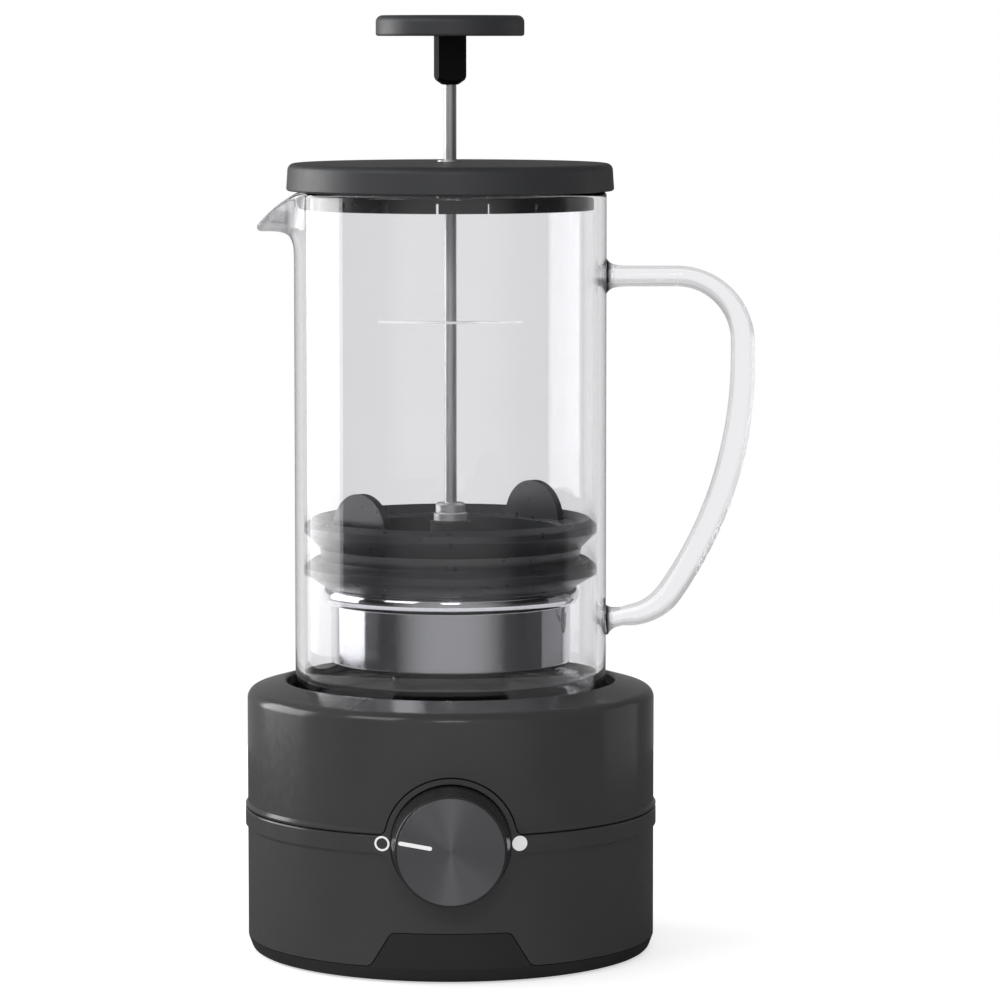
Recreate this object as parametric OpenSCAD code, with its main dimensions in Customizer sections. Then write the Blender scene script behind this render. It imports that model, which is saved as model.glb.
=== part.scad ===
// Cold brew coffee maker: a motor base with a rotary control, a glass carafe that stands in it,
// and a lid with a press that carries a steel filter cup. Millimetres, +Z up, the front faces -Y,
// the spout points to -X and the handle to +X. The origin is on the base's axis, at table level.

/* [Base] */
// Gap between the flange of the carafe well and the base's wall
well_room = 1.2; // [0.8:0.1:6]
// Height of the base at the rim of the carafe well
base_h = 87.6; // [85:0.2:98]
// Thickness of the moulded shells
shell_t = 2.6; // [2.2:0.1:3]
// Height of the seam between the two housings
seam_z = 46.8; // [45:0.2:49]
// Visible gap along the seam
seam_gap = 0.4; // [0.2:0.1:0.6]
// How far the belt along the seam stands proud of the wall
belt_proud = 0.75; // [0.4:0.05:1.2]
// Width of the belt above the seam
belt_up = 1.4; // [1:0.1:2]
// Width of the belt below the seam
belt_down = 6.1; // [5:0.1:7]
// Fall of the top ring from the well rim to the shoulder
top_fall = 2.4; // [1.5:0.1:4]
// Radius of the rounded shoulder
shoulder_r = 3.4; // [2.5:0.1:5]
// Height of the bottom cover's dark band
band_h = 5; // [4:0.1:6]
// How far the band curves in at its foot
band_in = 2.2; // [1.2:0.1:3]
// How far the rubber foot stands below the cover
foot_proud = 0.5; // [0.3:0.1:1.2]
// Distance from the outside of the wall to the rubber foot
foot_inset = 11.5; // [11.5:0.5:18]
// Width of the rubber foot
foot_w = 6; // [4:0.5:8]

/* [Front tongue] */
// Height of the bare panel's upper edge
tongue_z = 16; // [13:0.2:18]
// Half width of the panel at its upper edge
tongue_w = 18.5; // [14:0.5:20]
// Half width of the panel where it meets the band
tongue_foot_w = 25; // [23:0.5:28]
// Thickness of the panel
tongue_t = 1.2; // [0.8:0.1:1.6]

/* [Knob] */
// Height of the knob's axis
knob_z = 44.3; // [43:0.1:46]
// Radius of the knob's metal face
face_r = 17; // [14:0.1:17.4]
// Radius of the knob at the housing
knob_r = 18.6; // [18:0.1:20]
// Distance of the knob's face in front of the belt
knob_reach = 13.4; // [11:0.2:18]
// Width of the raised pad's rim around the knob
pad_rim = 1.6; // [0.8:0.1:2]
// Gap between the knob and its pocket
knob_gap = 0.4; // [0.3:0.05:0.6]
// Angle of the pointer above the horizontal at rest
pointer_a = 10.2; // [0:0.2:20]
// Radius of the control's shaft
control_r = 3; // [2.5:0.1:3.2]

/* [Carafe well] */
// Depth of the well below its rim
well_depth = 8.1; // [7:0.1:10]
// Gap between the carafe and the well's wall
well_gap = 2.9; // [2:0.1:4]
// Thickness of the well's floor
well_floor = 2.5; // [2:0.1:3]

/* [Carafe] */
// Outer radius of the glass
glass_r = 50; // [48:0.5:51]
// Thickness of the glass wall
glass_t = 2.6; // [2:0.1:3]
// Thickness of the glass floor
glass_floor = 3; // [2.5:0.1:4]
// Height of the glass
glass_h = 164.6; // [162:0.2:180]
// Radius of the rounded heel of the glass
heel_r = 7; // [5:0.5:9]
// Reach of the spout's tip from the glass wall
spout_reach = 11.8; // [9:0.2:14]
// Depth of the spout's tip below the rim
spout_drop = 11.2; // [9:0.2:14]
// Half width of the spout at the rim
spout_w = 13; // [10:0.5:16]

/* [Handle] */
// Depth of the handle's upper arm below the glass rim
handle_top = 27.1; // [24:0.1:32]
// Length of the upper arm, from the glass to its bend
arm_l = 22.5; // [18:0.5:28]
// Radius of the upper bend
bend_r = 21.3; // [17:0.5:25]
// Length of the straight stretch below the upper bend
grip_l = 7; // [4:0.5:14]
// Radius of the long curve of the grip
grip_r = 128; // [124:1:160]
// Angle that the grip turns through
grip_a = 35; // [33:0.5:37]
// Radius of the lower bend
lower_bend_r = 18; // [15:0.5:20]
// Slope of the lower arm
lower_slope = 8; // [5:0.5:12]
// Radius of the rod at the grip
grip_rod_r = 4.15; // [3.5:0.05:4.8]
// Radius of the rod at the upper arm
upper_rod_r = 3.3; // [2.8:0.05:3.8]
// Radius of the rod at the lower arm
lower_rod_r = 2.9; // [2.5:0.05:3.4]
// Extra radius of the fused pads at the glass
pad_flare = 2.6; // [1.5:0.1:3.2]

/* [Lid] */
// Overhang of the lid past the glass
lid_over = 2.4; // [1.5:0.1:4]
// Height of the lid's side
lid_h = 8.7; // [8:0.1:11]
// Rise of the lid's top at its centre
lid_dome = 0.5; // [0.2:0.1:1.5]
// Thickness of the lid's cover
lid_t = 2.2; // [1.8:0.1:2.8]
// Gap between the lid's skirt and the glass
skirt_gap = 1.4; // [0.8:0.1:2]
// Depth of the skirt below the glass rim
skirt_h = 5.6; // [4:0.1:8]
// Number of pouring slits in the skirt
slits = 18; // [12:1:24]

/* [Plunger] */
// Radius of the push disc
disc_r = 23.7; // [20:0.1:26]
// Thickness of the push disc
disc_t = 6.6; // [5:0.1:8]
// Side of the square stem
stem_w = 8.9; // [8:0.1:10]
// Turn of the stem about the rod
stem_turn = 10.4; // [0:0.2:40]
// Length of the stem below the disc, without its neck
stem_l = 12.8; // [11:0.2:18]
// Radius of the rod
rod_r = 2; // [1.8:0.1:2.4]
// Height of the stem's lower end above the lid's edge
stem_lift = 25; // [20:0.5:30]

/* [Press] */
// Height of the filter cup's floor above the glass floor
cup_lift = 10; // [9.6:0.1:14]
// Height of the filter cup
cup_h = 21.8; // [18:0.2:26]
// Gap between the filter cup and the glass
cup_gap = 8.8; // [8.4:0.1:11]
// Thickness of the steel sheet
cup_t = 0.6; // [0.5:0.1:0.9]
// Height of the press frame above the cup
frame_h = 21.6; // [20:0.2:24]
// Height of the frame's floor above the cup
floor_lift = 9; // [8:0.2:11]
// Height above the cup at which the two wipers meet
wiper_joint = 12.6; // [12.4:0.1:14]
// Height of the lower lip above the cup
lower_lip = 7.8; // [7:0.1:8]
// Distance of the upper lip's band below the wiper's top
upper_lip = 1.7; // [1:0.1:2.5]
// Gap between the wiper lips and the glass
lip_gap = 0.3; // [0.25:0.05:0.5]
// Height of the wiper lips' rim band
lip_band = 4.2; // [3:0.1:5]
// Height of the lips' outer edge
lip_tip = 2.4; // [1.5:0.1:2.8]
// Width of the slope on top of the lips
lip_slope = 2.4; // [1:0.1:3]
// Radius of the pull tabs
tab_r = 13; // [11:0.1:14]
// Height of the pull tabs above the wiper's rim
tab_h = 12.2; // [10:0.1:12.8]
// Bearing of the two pull tabs
tab_a = 41; // [30:1:60]
// Radius of the rod's collar
collar_r = 5.4; // [4.5:0.1:6]
// Height of the rod's collar
collar_h = 6; // [5:0.1:7]

/* [Drive] */
// Radius of the motor can
motor_r = 14; // [13:0.2:15]
// Length of the motor can
motor_l = 38; // [34:0.5:39]
// Radius of the motor's shaft
shaft_r = 1.5; // [1.2:0.1:1.6]
// Radius of the magnet holder
holder_r = 22; // [20:0.5:23]
// Height of the magnet holder
holder_h = 9; // [8:0.2:10]
// Radius of a drive magnet
magnet_r = 5; // [4:0.1:5.5]
// Distance of a drive magnet from the axis
magnet_x = 14.5; // [13:0.1:15]
// Length of the stirring bar
stir_l = 38; // [30:1:50]
// Radius of the stirring bar
stir_r = 3.5; // [3:0.1:3.7]

/* [Cord inlet] */
// Height of the cord inlet's axis
inlet_z = 22; // [18:0.5:26]
// Radius of the cord inlet's bore
inlet_r = 3.3; // [3:0.1:4]

/* [Hidden] */

$fn = 96;

// Clearances: pieces that move apart, pieces that slide in each other, and a loose hole for a screw
part_gap = 0.3;
run_gap = 0.05;
screw_gap = 0.2;
// A cut reaches this far past the face that it opens
past = 1;
// Screws: radius of the thread, of the pan head, and the head's height
screw_r = 1.5;
screw_head_r = 2.8;
screw_head_h = 1.8;
// How deep a screw bites, and the room left beyond its tip
bite = 8;
tip_room = 2;
// Posts that take a screw, and the webs that tie them to the wall
post_r = 4;
post_gap = 1;
web_t = 2;
web_bite = 0.6;
// Small rounding on moulded edges
edge_r = 0.5;

// ---- Heights and radii that follow from the sizes above ----
well_r = glass_r + well_gap;
well_z = base_h - well_depth;
well_under = well_z - well_floor;
well_wall = 2.4;
collar_step = 0.9;
collar_z = base_h - shell_t - collar_step;
flange_t = 2.4;
flange_boss_r = 3.2;
flange_edge = 0.2;
flange_screw_r = well_r + well_wall + flange_boss_r + flange_edge;
flange_r = flange_screw_r + flange_boss_r - flange_edge;
flange_bite = 2.6;

wall_in = flange_r + well_room;
base_r = wall_in + shell_t;
belt_r = base_r + belt_proud;
shoulder_z = base_h - top_fall - shoulder_r;
post_ring = wall_in - post_r - post_gap;

// The lip that centres the upper housing on the lower one
lip_h = 2.6;
lip_t = shell_t * 0.5;
lip_gap_r = 0.15;
lip_room = 0.3;
// Columns and bosses that join the two housings, and posts that take the cover
column_h = 12;
boss_h = 13;
post_h = 14;
post_z = band_h + 0.6;

cover_t = 2.8;
cover_top = foot_proud + cover_t;
cover_gap = 0.2;
cover_screw_z = foot_proud + screw_head_h + cover_gap;
rim_t = 1.6;
rim_h = 3;
foot_r = base_r - foot_inset;
foot_seat = 1.4;
vent_w = 2;
vent_l = 16;
vent_pitch = 5;
vent_y = 17;

glass_z = well_z + part_gap;
glass_in = glass_r - glass_t;
cup_r = glass_in - cup_gap;
glass_floor_z = glass_z + glass_floor;
rim_z = glass_z + glass_h;

lid_z = rim_z + part_gap;
lid_r = glass_r + lid_over;
lid_top = lid_z + lid_h;
bush_r = rod_r + 1.6;
skirt_r = glass_in - skirt_gap;
skirt_t = 1.8;
plate_t = 1.6;

cup_z = glass_floor_z + cup_lift;
frame_z = cup_z + cup_h;
frame_top = frame_z + frame_h;
frame_r = cup_r - 0.2;
frame_t = 2;
frame_floor = frame_z + floor_lift;
floor_t = 2;
screen_t = 0.4;
nut_r = 4.4;
rod_nut_h = 3;
hub_r = 6.6;
hub_rise = 2.4;
hub_top = frame_top + hub_rise;
lip_r = glass_in - lip_gap;
lip_fall = 4.9;
neck_t = 3;
neck_r = frame_r + neck_t;
roof_t = 1.2;
wiper_top = frame_top + roof_t;

stem_z = lid_top + stem_lift;
neck_l = 2.6;
neck_in = 1.8;
stem_bore = 9;
peg_r = 3;
peg_l = 3;
disc_z = stem_z + neck_l + stem_l;

rotor_gap = 1.4;
rotor_top = well_under - rotor_gap;
holder_z = rotor_top - holder_h;
holder_disc = 6.5;
holder_hub_r = 5;
hub_drop = 2;
shaft_cover = 1.5;
magnet_t = 5;
bracket_t = 2.5;
boss_drop = holder_h + 7.5;
bracket_z = well_under - boss_drop - bracket_t;
bracket_ring = 29;
bracket_w = 15;
motor_z = bracket_z - motor_l;
can_t = 1.2;
cap_h = 5;
cap_rim = 2;
// Noses of the motor that hold its bushings
nose_r = 5;
nose_l = 3;
bushing_r = 3;
bushing_step = 0.5;
field_t = 3;
armature_gap = 1;
armature_r = motor_r - can_t - field_t - armature_gap;
armature_in = 5;
coil_l = 7;
motor_screw_x = 8;

face_y = -(belt_r + knob_reach);
pocket_r = knob_r + knob_gap;
pad_r = pocket_r + pad_rim;
pad_mid = pad_r + seam_gap / 2;
pad_edge = 0.4;
pad_t = 3;
pocket_y = -sqrt(pow(base_r, 2) - pow(pad_r, 2)) - pad_edge;
knob_back = pocket_y - knob_gap;
pad_back = pocket_y + pad_t;
ear_r = 2.6;
knob_skin = 2.2;
cap_t = 1;
shaft_end = 3.5;
control_w = 17;
control_h = 9;
pin_l = 4;
pin_pitch = 5;
thread_r = control_r + 0.9;
nut_h = 2;

board_lift = 6;
board_z = cover_top + board_lift;
board_t = 1.6;
board_w = 52;
board_d = 32;
board_rear = 10.9;
board_y = wall_in - board_rear - board_d;
board_hole_in = 4;
board_screw_r = 1.1;
board_screw_l = 4;
standoff_r = 3;

grommet_t = 2.8;
grommet_l = 12;
grommet_proud = 2.4;
grommet_back = 9;

stir_z = glass_floor_z + part_gap + stir_r;
stir_end = 4.5;
stir_skin = 1.2;
magnet_l = stir_l - 2 * stir_end;

cover_angles = [45, 135, 225, 315];
housing_angles = [25, 90, 155];
well_angles = [60, 180, 300];
bracket_angles = [90, 210, 330];

BLACK = [0.16, 0.16, 0.165];
DARK = [0.11, 0.11, 0.115];
STEEL = [0.72, 0.73, 0.75];
RUBBER = [0.13, 0.13, 0.14];

// ---- Shared shapes ----

// Points along an arc, from angle a to angle b
function arc(c, r, a, b, n = 12) =
  [for (i = [0:n]) let (t = a + (b - a) * i / n) c + r * [cos(t), sin(t)]];

module ring(ro, ri, h) {
  difference() {
    cylinder(r = ro, h = h);
    translate([0, 0, -past]) cylinder(r = ri, h = h + 2 * past);
  }
}

// Copies at a radius, at each of the angles
module around(angles, r) {
  for (a = angles) rotate([0, 0, a]) translate([r, 0, 0]) children();
}

// Lays what is drawn along +Z down along -Y, its foot on the plane y, at the knob's height
module forward(y, z = knob_z) {
  translate([0, y, z]) rotate([90, 0, 0]) children();
}

// Post for a screw, with a web of its own height that runs into the wall behind it
module post(h, web_h) {
  cylinder(r = post_r, h = h);
  translate([0, -web_t / 2, 0]) cube([post_r + post_gap + web_bite, web_t, web_h]);
}

// Screw that points up: its head's underside is on z = 0
module screw(l) {
  translate([0, 0, -past / 2]) cylinder(r = screw_r, h = l + past / 2);
  difference() {
    translate([0, 0, -screw_head_h]) cylinder(r = screw_head_r, h = screw_head_h);
    for (a = [0, 90])
      rotate([0, 0, a]) translate([-1.6, -0.3, -screw_head_h - past]) cube([3.2, 0.6, past + 0.9]);
  }
}

// ---- Base ----

// Outline of the raised pad around the knob, seen from the front: a disc that runs into the
// belt with a fillet at each side. g moves it from the middle of the seam's gap.
function pad_arch(edge, g) =
  let (
    cz = edge + ear_r,
    cx = sqrt(pow(pad_mid + ear_r, 2) - pow(cz - knob_z, 2)),
    t = atan2(cz - knob_z, cx)
  )
  concat(
    arc([cx, cz], ear_r - g, -90, t - 180, 6),
    arc([0, knob_z], pad_mid + g, t, 180 - t, 40),
    arc([-cx, cz], ear_r - g, -t, -90, 6)
  );

module pad_prism(g) {
  above = pad_arch(seam_z, g);
  // the arch below the belt is drawn above the axis, then turned over
  below = pad_arch(2 * knob_z - seam_z + belt_down, g);
  forward(0, 0) linear_extrude(base_r * 2)
    polygon(concat(
      above,
      [for (i = [len(below) - 1:-1:0]) [below[i][0], 2 * knob_z - below[i][1]]]
    ));
}

module upper_housing() {
  color(BLACK)
  difference() {
    union() {
      rotate_extrude()
        polygon(concat(
          [
            [wall_in + lip_t + lip_gap_r, seam_z + seam_gap / 2],
            [belt_r - edge_r, seam_z + seam_gap / 2]
          ],
          arc([belt_r - edge_r, seam_z + seam_gap / 2 + edge_r], edge_r, -90, 0, 4),
          [[belt_r, seam_z + belt_up - edge_r], [base_r, seam_z + belt_up + edge_r]],
          arc([base_r - shoulder_r, shoulder_z], shoulder_r, 0, 75, 12),
          arc([well_r + 1, base_h - 1], 1, 75, 180, 8),
          [
            [well_r, collar_z],
            [well_r + well_wall, collar_z],
            [well_r + well_wall, base_h - shell_t],
            [base_r - shell_t - 0.8, base_h - top_fall - shell_t],
            [wall_in, shoulder_z - 0.6],
            [wall_in, seam_z + lip_h + lip_room],
            [wall_in + lip_t + lip_gap_r, seam_z + lip_h + lip_room]
          ]
        ));
      // bosses that take the screws of the lower housing
      around(housing_angles, post_ring)
        translate([0, 0, seam_z + lip_h + lip_room]) post(boss_h, boss_h);
      // bosses under the top ring for the carafe well
      around(well_angles, flange_screw_r)
        translate([0, 0, well_z + flange_t])
          cylinder(r = flange_boss_r, h = collar_z - well_z - flange_t + web_bite);
    }
    pad_prism(seam_gap / 2);
    around(housing_angles, post_ring)
      translate([0, 0, seam_z + lip_h + lip_room - past])
        cylinder(r = screw_r, h = bite + tip_room + past);
    around(well_angles, flange_screw_r)
      translate([0, 0, well_z + flange_t - past])
        cylinder(r = screw_r, h = flange_bite + past + 0.4);
  }
}

module carafe_well() {
  color(DARK)
  difference() {
    union() {
      rotate_extrude()
        polygon([
          [0, well_under], [well_r + well_wall, well_under], [well_r + well_wall, well_z],
          [flange_r, well_z], [flange_r, well_z + flange_t], [well_r + well_wall, well_z + flange_t],
          [well_r + well_wall, collar_z], [well_r, collar_z], [well_r, well_z], [0, well_z]
        ]);
      // bosses that carry the motor bracket
      around(bracket_angles, bracket_ring)
        translate([0, 0, well_under - boss_drop]) cylinder(r = post_r, h = boss_drop + 0.5);
    }
    around(bracket_angles, bracket_ring)
      translate([0, 0, well_under - boss_drop - past])
        cylinder(r = screw_r, h = bite + tip_room + past);
    around(well_angles, flange_screw_r)
      translate([0, 0, well_z - past]) cylinder(r = screw_r + screw_gap, h = flange_t + 2 * past);
  }
}

module well_screws() {
  color(STEEL)
  around(well_angles, flange_screw_r) translate([0, 0, well_z]) screw(flange_t + flange_bite);
}

module lower_housing() {
  color(BLACK)
  difference() {
    union() {
      rotate_extrude()
        polygon(concat(
          [[wall_in, band_h + cover_gap], [base_r, band_h + cover_gap]],
          [[base_r, seam_z - belt_down - edge_r], [belt_r, seam_z - belt_down + edge_r]],
          arc([belt_r - edge_r, seam_z - seam_gap / 2 - edge_r], edge_r, 0, 90, 4),
          [
            [wall_in + lip_t, seam_z - seam_gap / 2],
            [wall_in + lip_t, seam_z + lip_h],
            [wall_in, seam_z + lip_h]
          ]
        ));
      // raised pad around the knob
      intersection() {
        pad_prism(-seam_gap / 2);
        translate([0, 0, knob_z - 2 * pad_r]) cylinder(r = belt_r, h = 4 * pad_r);
        translate([-base_r, -2 * base_r, 0]) cube([2 * base_r, 2 * base_r + pad_back, base_h]);
      }
      // columns that carry the upper housing
      around(housing_angles, post_ring)
        translate([0, 0, seam_z - column_h]) post(column_h + lip_h, column_h - 1);
      // posts that take the bottom cover
      around(cover_angles, post_ring)
        translate([0, 0, post_z]) post(post_h, post_h - 1);
    }
    // pocket in which the knob turns, and the hole for the control's thread
    forward(pocket_y) cylinder(r = pocket_r, h = base_r);
    forward(pad_back + past) cylinder(r = thread_r + screw_gap, h = base_r);
    // seat of the bottom cover's tongue
    tongue(g = 0.25, deep = 0.15);
    around(housing_angles, post_ring)
      translate([0, 0, seam_z - column_h - past])
        cylinder(r = screw_r + screw_gap, h = column_h + lip_h + 2 * past);
    around(cover_angles, post_ring)
      translate([0, 0, post_z - past]) cylinder(r = screw_r, h = bite + tip_room + past);
    // hole for the cord grommet
    translate([0, base_r + past, inlet_z]) rotate([90, 0, 0])
      cylinder(r = inlet_r + grommet_t + cover_gap, h = shell_t + 4 * past);
  }
}

module housing_screws() {
  color(STEEL)
  around(housing_angles, post_ring) translate([0, 0, seam_z - column_h]) screw(column_h + lip_h + bite);
}

// Trapezoid with rounded upper corners and flared feet, seen from the front
module tongue_outline(g) {
  r_top = 2.6;
  r_foot = 3;
  slope = atan2(tongue_z - band_h, tongue_foot_w - tongue_w);
  turn = 180 - slope;
  corner = [tongue_w - r_top * tan(slope / 2) + g, tongue_z - r_top + g];
  foot = [tongue_foot_w + r_foot * tan((90 - slope / 2) / 2) + g, band_h + r_foot + g];
  half = concat(
    [[tongue_foot_w + 6, band_h - 2], [tongue_foot_w + 6, band_h + g]],
    arc(foot, r_foot, -90, -90 - slope, 6),
    arc(corner, r_top, 90 - slope, 90, 6)
  );
  polygon(concat(half, [for (i = [len(half) - 1:-1:0]) [-half[i][0], half[i][1]]]));
}

// The bottom cover's tongue: a curved plate that lies flush in the front of the wall
module tongue(g, deep) {
  intersection() {
    forward(0, 0) linear_extrude(base_r * 2) tongue_outline(g);
    translate([0, 0, band_h - 0.1]) difference() {
      cylinder(r = base_r + deep, h = tongue_z);
      translate([0, 0, -past]) cylinder(r = base_r - tongue_t - deep, h = tongue_z + 2 * past);
    }
  }
}

module bottom_cover() {
  color(DARK)
  difference() {
    union() {
      rotate_extrude()
        polygon(concat(
          [[0, foot_proud], [base_r - band_in - 1, foot_proud]],
          arc([base_r - band_in - 1, foot_proud + 2.2], 2.2, -90, -20, 6),
          [
            [base_r, band_h], [wall_in, band_h], [wall_in - cover_gap, cover_top],
            [0, cover_top]
          ]
        ));
      // locating rim inside the lower housing
      translate([0, 0, cover_top - cover_gap])
        ring(wall_in - cover_gap, wall_in - cover_gap - rim_t, band_h + rim_h - cover_top);
      tongue(g = 0, deep = 0);
      // standoffs for the circuit board
      board_holes()
        translate([0, 0, cover_top - cover_gap])
          cylinder(r = standoff_r, h = board_lift + cover_gap);
    }
    // room for the posts of the lower housing
    around(cover_angles, post_ring)
      translate([0, -post_r - post_gap / 2, band_h + cover_gap])
        cube([2 * post_r, 2 * post_r + post_gap, 2 * rim_h]);
    around(cover_angles, post_ring) {
      translate([0, 0, -past]) cylinder(r = screw_r + screw_gap, h = band_h + 2 * past);
      translate([0, 0, -past]) cylinder(r = screw_head_r + part_gap, h = cover_screw_z + past);
    }
    // groove that holds the rubber foot
    translate([0, 0, -past]) ring(foot_r, foot_r - foot_w, foot_proud + foot_seat + past);
    board_holes()
      translate([0, 0, board_z - board_screw_l - screw_gap])
        cylinder(r = board_screw_r, h = board_screw_l + screw_gap + past);
    // vents under the motor
    for (s = [-1, 1], i = [-4:4])
      translate([i * vent_pitch - vent_w / 2, s * vent_y - vent_l / 2, -past])
        cube([vent_w, vent_l, cover_top + 2 * past]);
  }
}

module cover_screws() {
  color(STEEL)
  around(cover_angles, post_ring)
    translate([0, 0, cover_screw_z]) screw(post_z + bite - cover_screw_z);
}

module foot_ring() {
  top = foot_proud + foot_seat;
  c = 0.4;
  color(RUBBER)
  rotate_extrude()
    polygon([
      [foot_r - foot_w + c, 0], [foot_r - c, 0], [foot_r, c],
      [foot_r, top], [foot_r - foot_w, top], [foot_r - foot_w, c]
    ]);
}

// Grommet that lines the cord's hole in the rear wall
module cord_grommet() {
  lip = inlet_r + grommet_t + 2.4;
  y_out = sqrt(pow(base_r, 2) - pow(lip, 2)) + grommet_proud;
  color(RUBBER)
  difference() {
    union() {
      intersection() {
        translate([0, y_out, inlet_z]) rotate([90, 0, 0]) cylinder(r = lip, h = grommet_l / 2);
        translate([0, 0, inlet_z - 2 * lip]) ring(base_r + lip, base_r, 4 * lip);
      }
      translate([0, y_out, inlet_z]) rotate([90, 0, 0]) cylinder(r = inlet_r + grommet_t, h = grommet_l);
      intersection() {
        translate([0, y_out, inlet_z]) rotate([90, 0, 0]) cylinder(r = lip - 0.6, h = grommet_l);
        translate([0, 0, inlet_z - 2 * lip]) cylinder(r = wall_in, h = 4 * lip);
        translate([-2 * lip, y_out - grommet_back, inlet_z - 2 * lip]) cube(4 * lip);
      }
    }
    translate([0, y_out + past, inlet_z]) rotate([90, 0, 0]) cylinder(r = inlet_r, h = grommet_l + 2 * past);
  }
}

// ---- Motor and its bracket ----

module motor_bracket() {
  color(STEEL)
  difference() {
    union() {
      translate([0, 0, bracket_z]) cylinder(r = motor_r + 4, h = bracket_t);
      around(bracket_angles, 0)
        translate([0, -bracket_w / 2, bracket_z]) cube([bracket_ring, bracket_w, bracket_t]);
      around(bracket_angles, bracket_ring)
        translate([0, 0, bracket_z]) cylinder(r = bracket_w / 2, h = bracket_t);
    }
    translate([0, 0, bracket_z - past]) cylinder(r = nose_r + screw_gap, h = bracket_t + 2 * past);
    around([0, 180], motor_screw_x)
      translate([0, 0, bracket_z - past]) cylinder(r = screw_r + screw_gap, h = bracket_t + 2 * past);
    around(bracket_angles, bracket_ring)
      translate([0, 0, bracket_z - past]) cylinder(r = screw_r + screw_gap, h = bracket_t + 2 * past);
  }
}

module bracket_screws() {
  color(STEEL)
  around(bracket_angles, bracket_ring) translate([0, 0, bracket_z]) screw(bracket_t + bite);
}

module motor_can() {
  color(STEEL)
  difference() {
    union() {
      translate([0, 0, motor_z]) ring(motor_r, motor_r - can_t, motor_l);
      translate([0, 0, bracket_z - can_t]) cylinder(r = motor_r, h = can_t);
      translate([0, 0, bracket_z - nose_l]) cylinder(r = nose_r, h = nose_l + bracket_t - bushing_step);
    }
    translate([0, 0, bracket_z - nose_l - past])
      cylinder(r = bushing_r, h = nose_l + bracket_t + 2 * past);
    around([0, 180], motor_screw_x)
      translate([0, 0, bracket_z - can_t - past]) cylinder(r = screw_r, h = can_t + 2 * past);
  }
}

module motor_magnets() {
  color(DARK)
  difference() {
    translate([0, 0, motor_z + cap_rim])
      ring(motor_r - can_t, motor_r - can_t - field_t, motor_l - cap_rim - coil_l);
    translate([-motor_r, -field_t, motor_z]) cube([2 * motor_r, 2 * field_t, motor_l]);
  }
}

module motor_end_cap() {
  color(BLACK)
  difference() {
    union() {
      translate([0, 0, motor_z - cap_h + cap_rim]) cylinder(r = motor_r, h = cap_h - cap_rim);
      translate([0, 0, motor_z - bushing_step])
        cylinder(r = motor_r - can_t - run_gap, h = cap_rim);
      translate([0, 0, motor_z - cap_h]) cylinder(r = nose_r, h = cap_h);
    }
    translate([0, 0, motor_z - cap_h + past]) cylinder(r = bushing_r, h = cap_h + cap_rim);
  }
}

module motor_bushings() {
  color("goldenrod") {
    translate([0, 0, bracket_z - nose_l])
      ring(bushing_r, shaft_r + run_gap, nose_l + bracket_t - bushing_step);
    translate([0, 0, motor_z - cap_h + past])
      ring(bushing_r, shaft_r + run_gap, cap_h - bushing_step);
  }
}

module motor_screws() {
  color(STEEL)
  around([0, 180], motor_screw_x)
    translate([0, 0, bracket_z + bracket_t]) rotate([180, 0, 0]) screw(bracket_t + can_t);
}

// ---- Control and circuit board ----

module control_body() {
  color(DARK)
  difference() {
    union() {
      translate([-control_w / 2, pad_back, knob_z - control_w / 2])
        cube([control_w, control_h, control_w]);
      forward(pad_back + web_bite) cylinder(r = thread_r, h = pad_t + nut_h + past + web_bite);
      // solder pins
      for (i = [-1:1])
        translate([i * pin_pitch - 0.5, pad_back + control_h - 2, knob_z - control_w / 2 - pin_l])
          cube([1, 0.6, pin_l + 0.5]);
    }
    forward(pad_back + control_h - 2) cylinder(r = control_r + run_gap, h = base_r);
  }
}

module control_nut() {
  color(STEEL)
  forward(pocket_y) difference() {
    cylinder(r = thread_r + 2.2, h = nut_h, $fn = 6);
    translate([0, 0, -past]) cylinder(r = thread_r, h = nut_h + 2 * past);
  }
}

module board_holes() {
  for (x = [-1, 1], y = [0, 1])
    translate([x * (board_w / 2 - board_hole_in), board_y + board_hole_in + y * (board_d - 2 * board_hole_in), 0])
      children();
}

module circuit_board() {
  color("darkgreen")
  difference() {
    translate([-board_w / 2, board_y, board_z]) cube([board_w, board_d, board_t]);
    board_holes() translate([0, 0, board_z - past]) cylinder(r = board_screw_r + screw_gap, h = board_t + 2 * past);
  }
}

module board_screws() {
  color(STEEL)
  board_holes() {
    translate([0, 0, board_z - board_screw_l])
      cylinder(r = board_screw_r, h = board_screw_l + board_t + 0.5);
    translate([0, 0, board_z + board_t]) cylinder(r = 2 * board_screw_r, h = 1.4);
  }
}

module board_transformer() {
  z = board_z + board_t;
  color("goldenrod") {
    translate([-20, board_y + 9, z]) cube([18, 15, 3]);
    translate([-18, board_y + 11, z + 3]) cube([14, 11, 8]);
    translate([-20, board_y + 9, z + 11]) cube([18, 15, 3]);
  }
}

module board_capacitor() {
  color("darkslateblue")
  translate([7, board_y + 11, board_z + board_t]) {
    cylinder(r = 5, h = 13.4);
    translate([0, 0, 13.4]) cylinder(r = 4.4, h = 0.6);
  }
}

module terminal_block() {
  color("seagreen")
  translate([8, board_y + 20, board_z + board_t]) difference() {
    cube([11, 8, 10]);
    for (i = [0, 1])
      translate([3 + 5 * i, -past, 2]) cube([2.6, 8, 3]);
  }
}

// ---- Drive that turns under the well ----

module motor_shaft() {
  foot = motor_z - cap_h + past + bushing_step;
  color(STEEL)
  translate([0, 0, foot]) cylinder(r = shaft_r, h = rotor_top - shaft_cover - foot);
}

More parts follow.
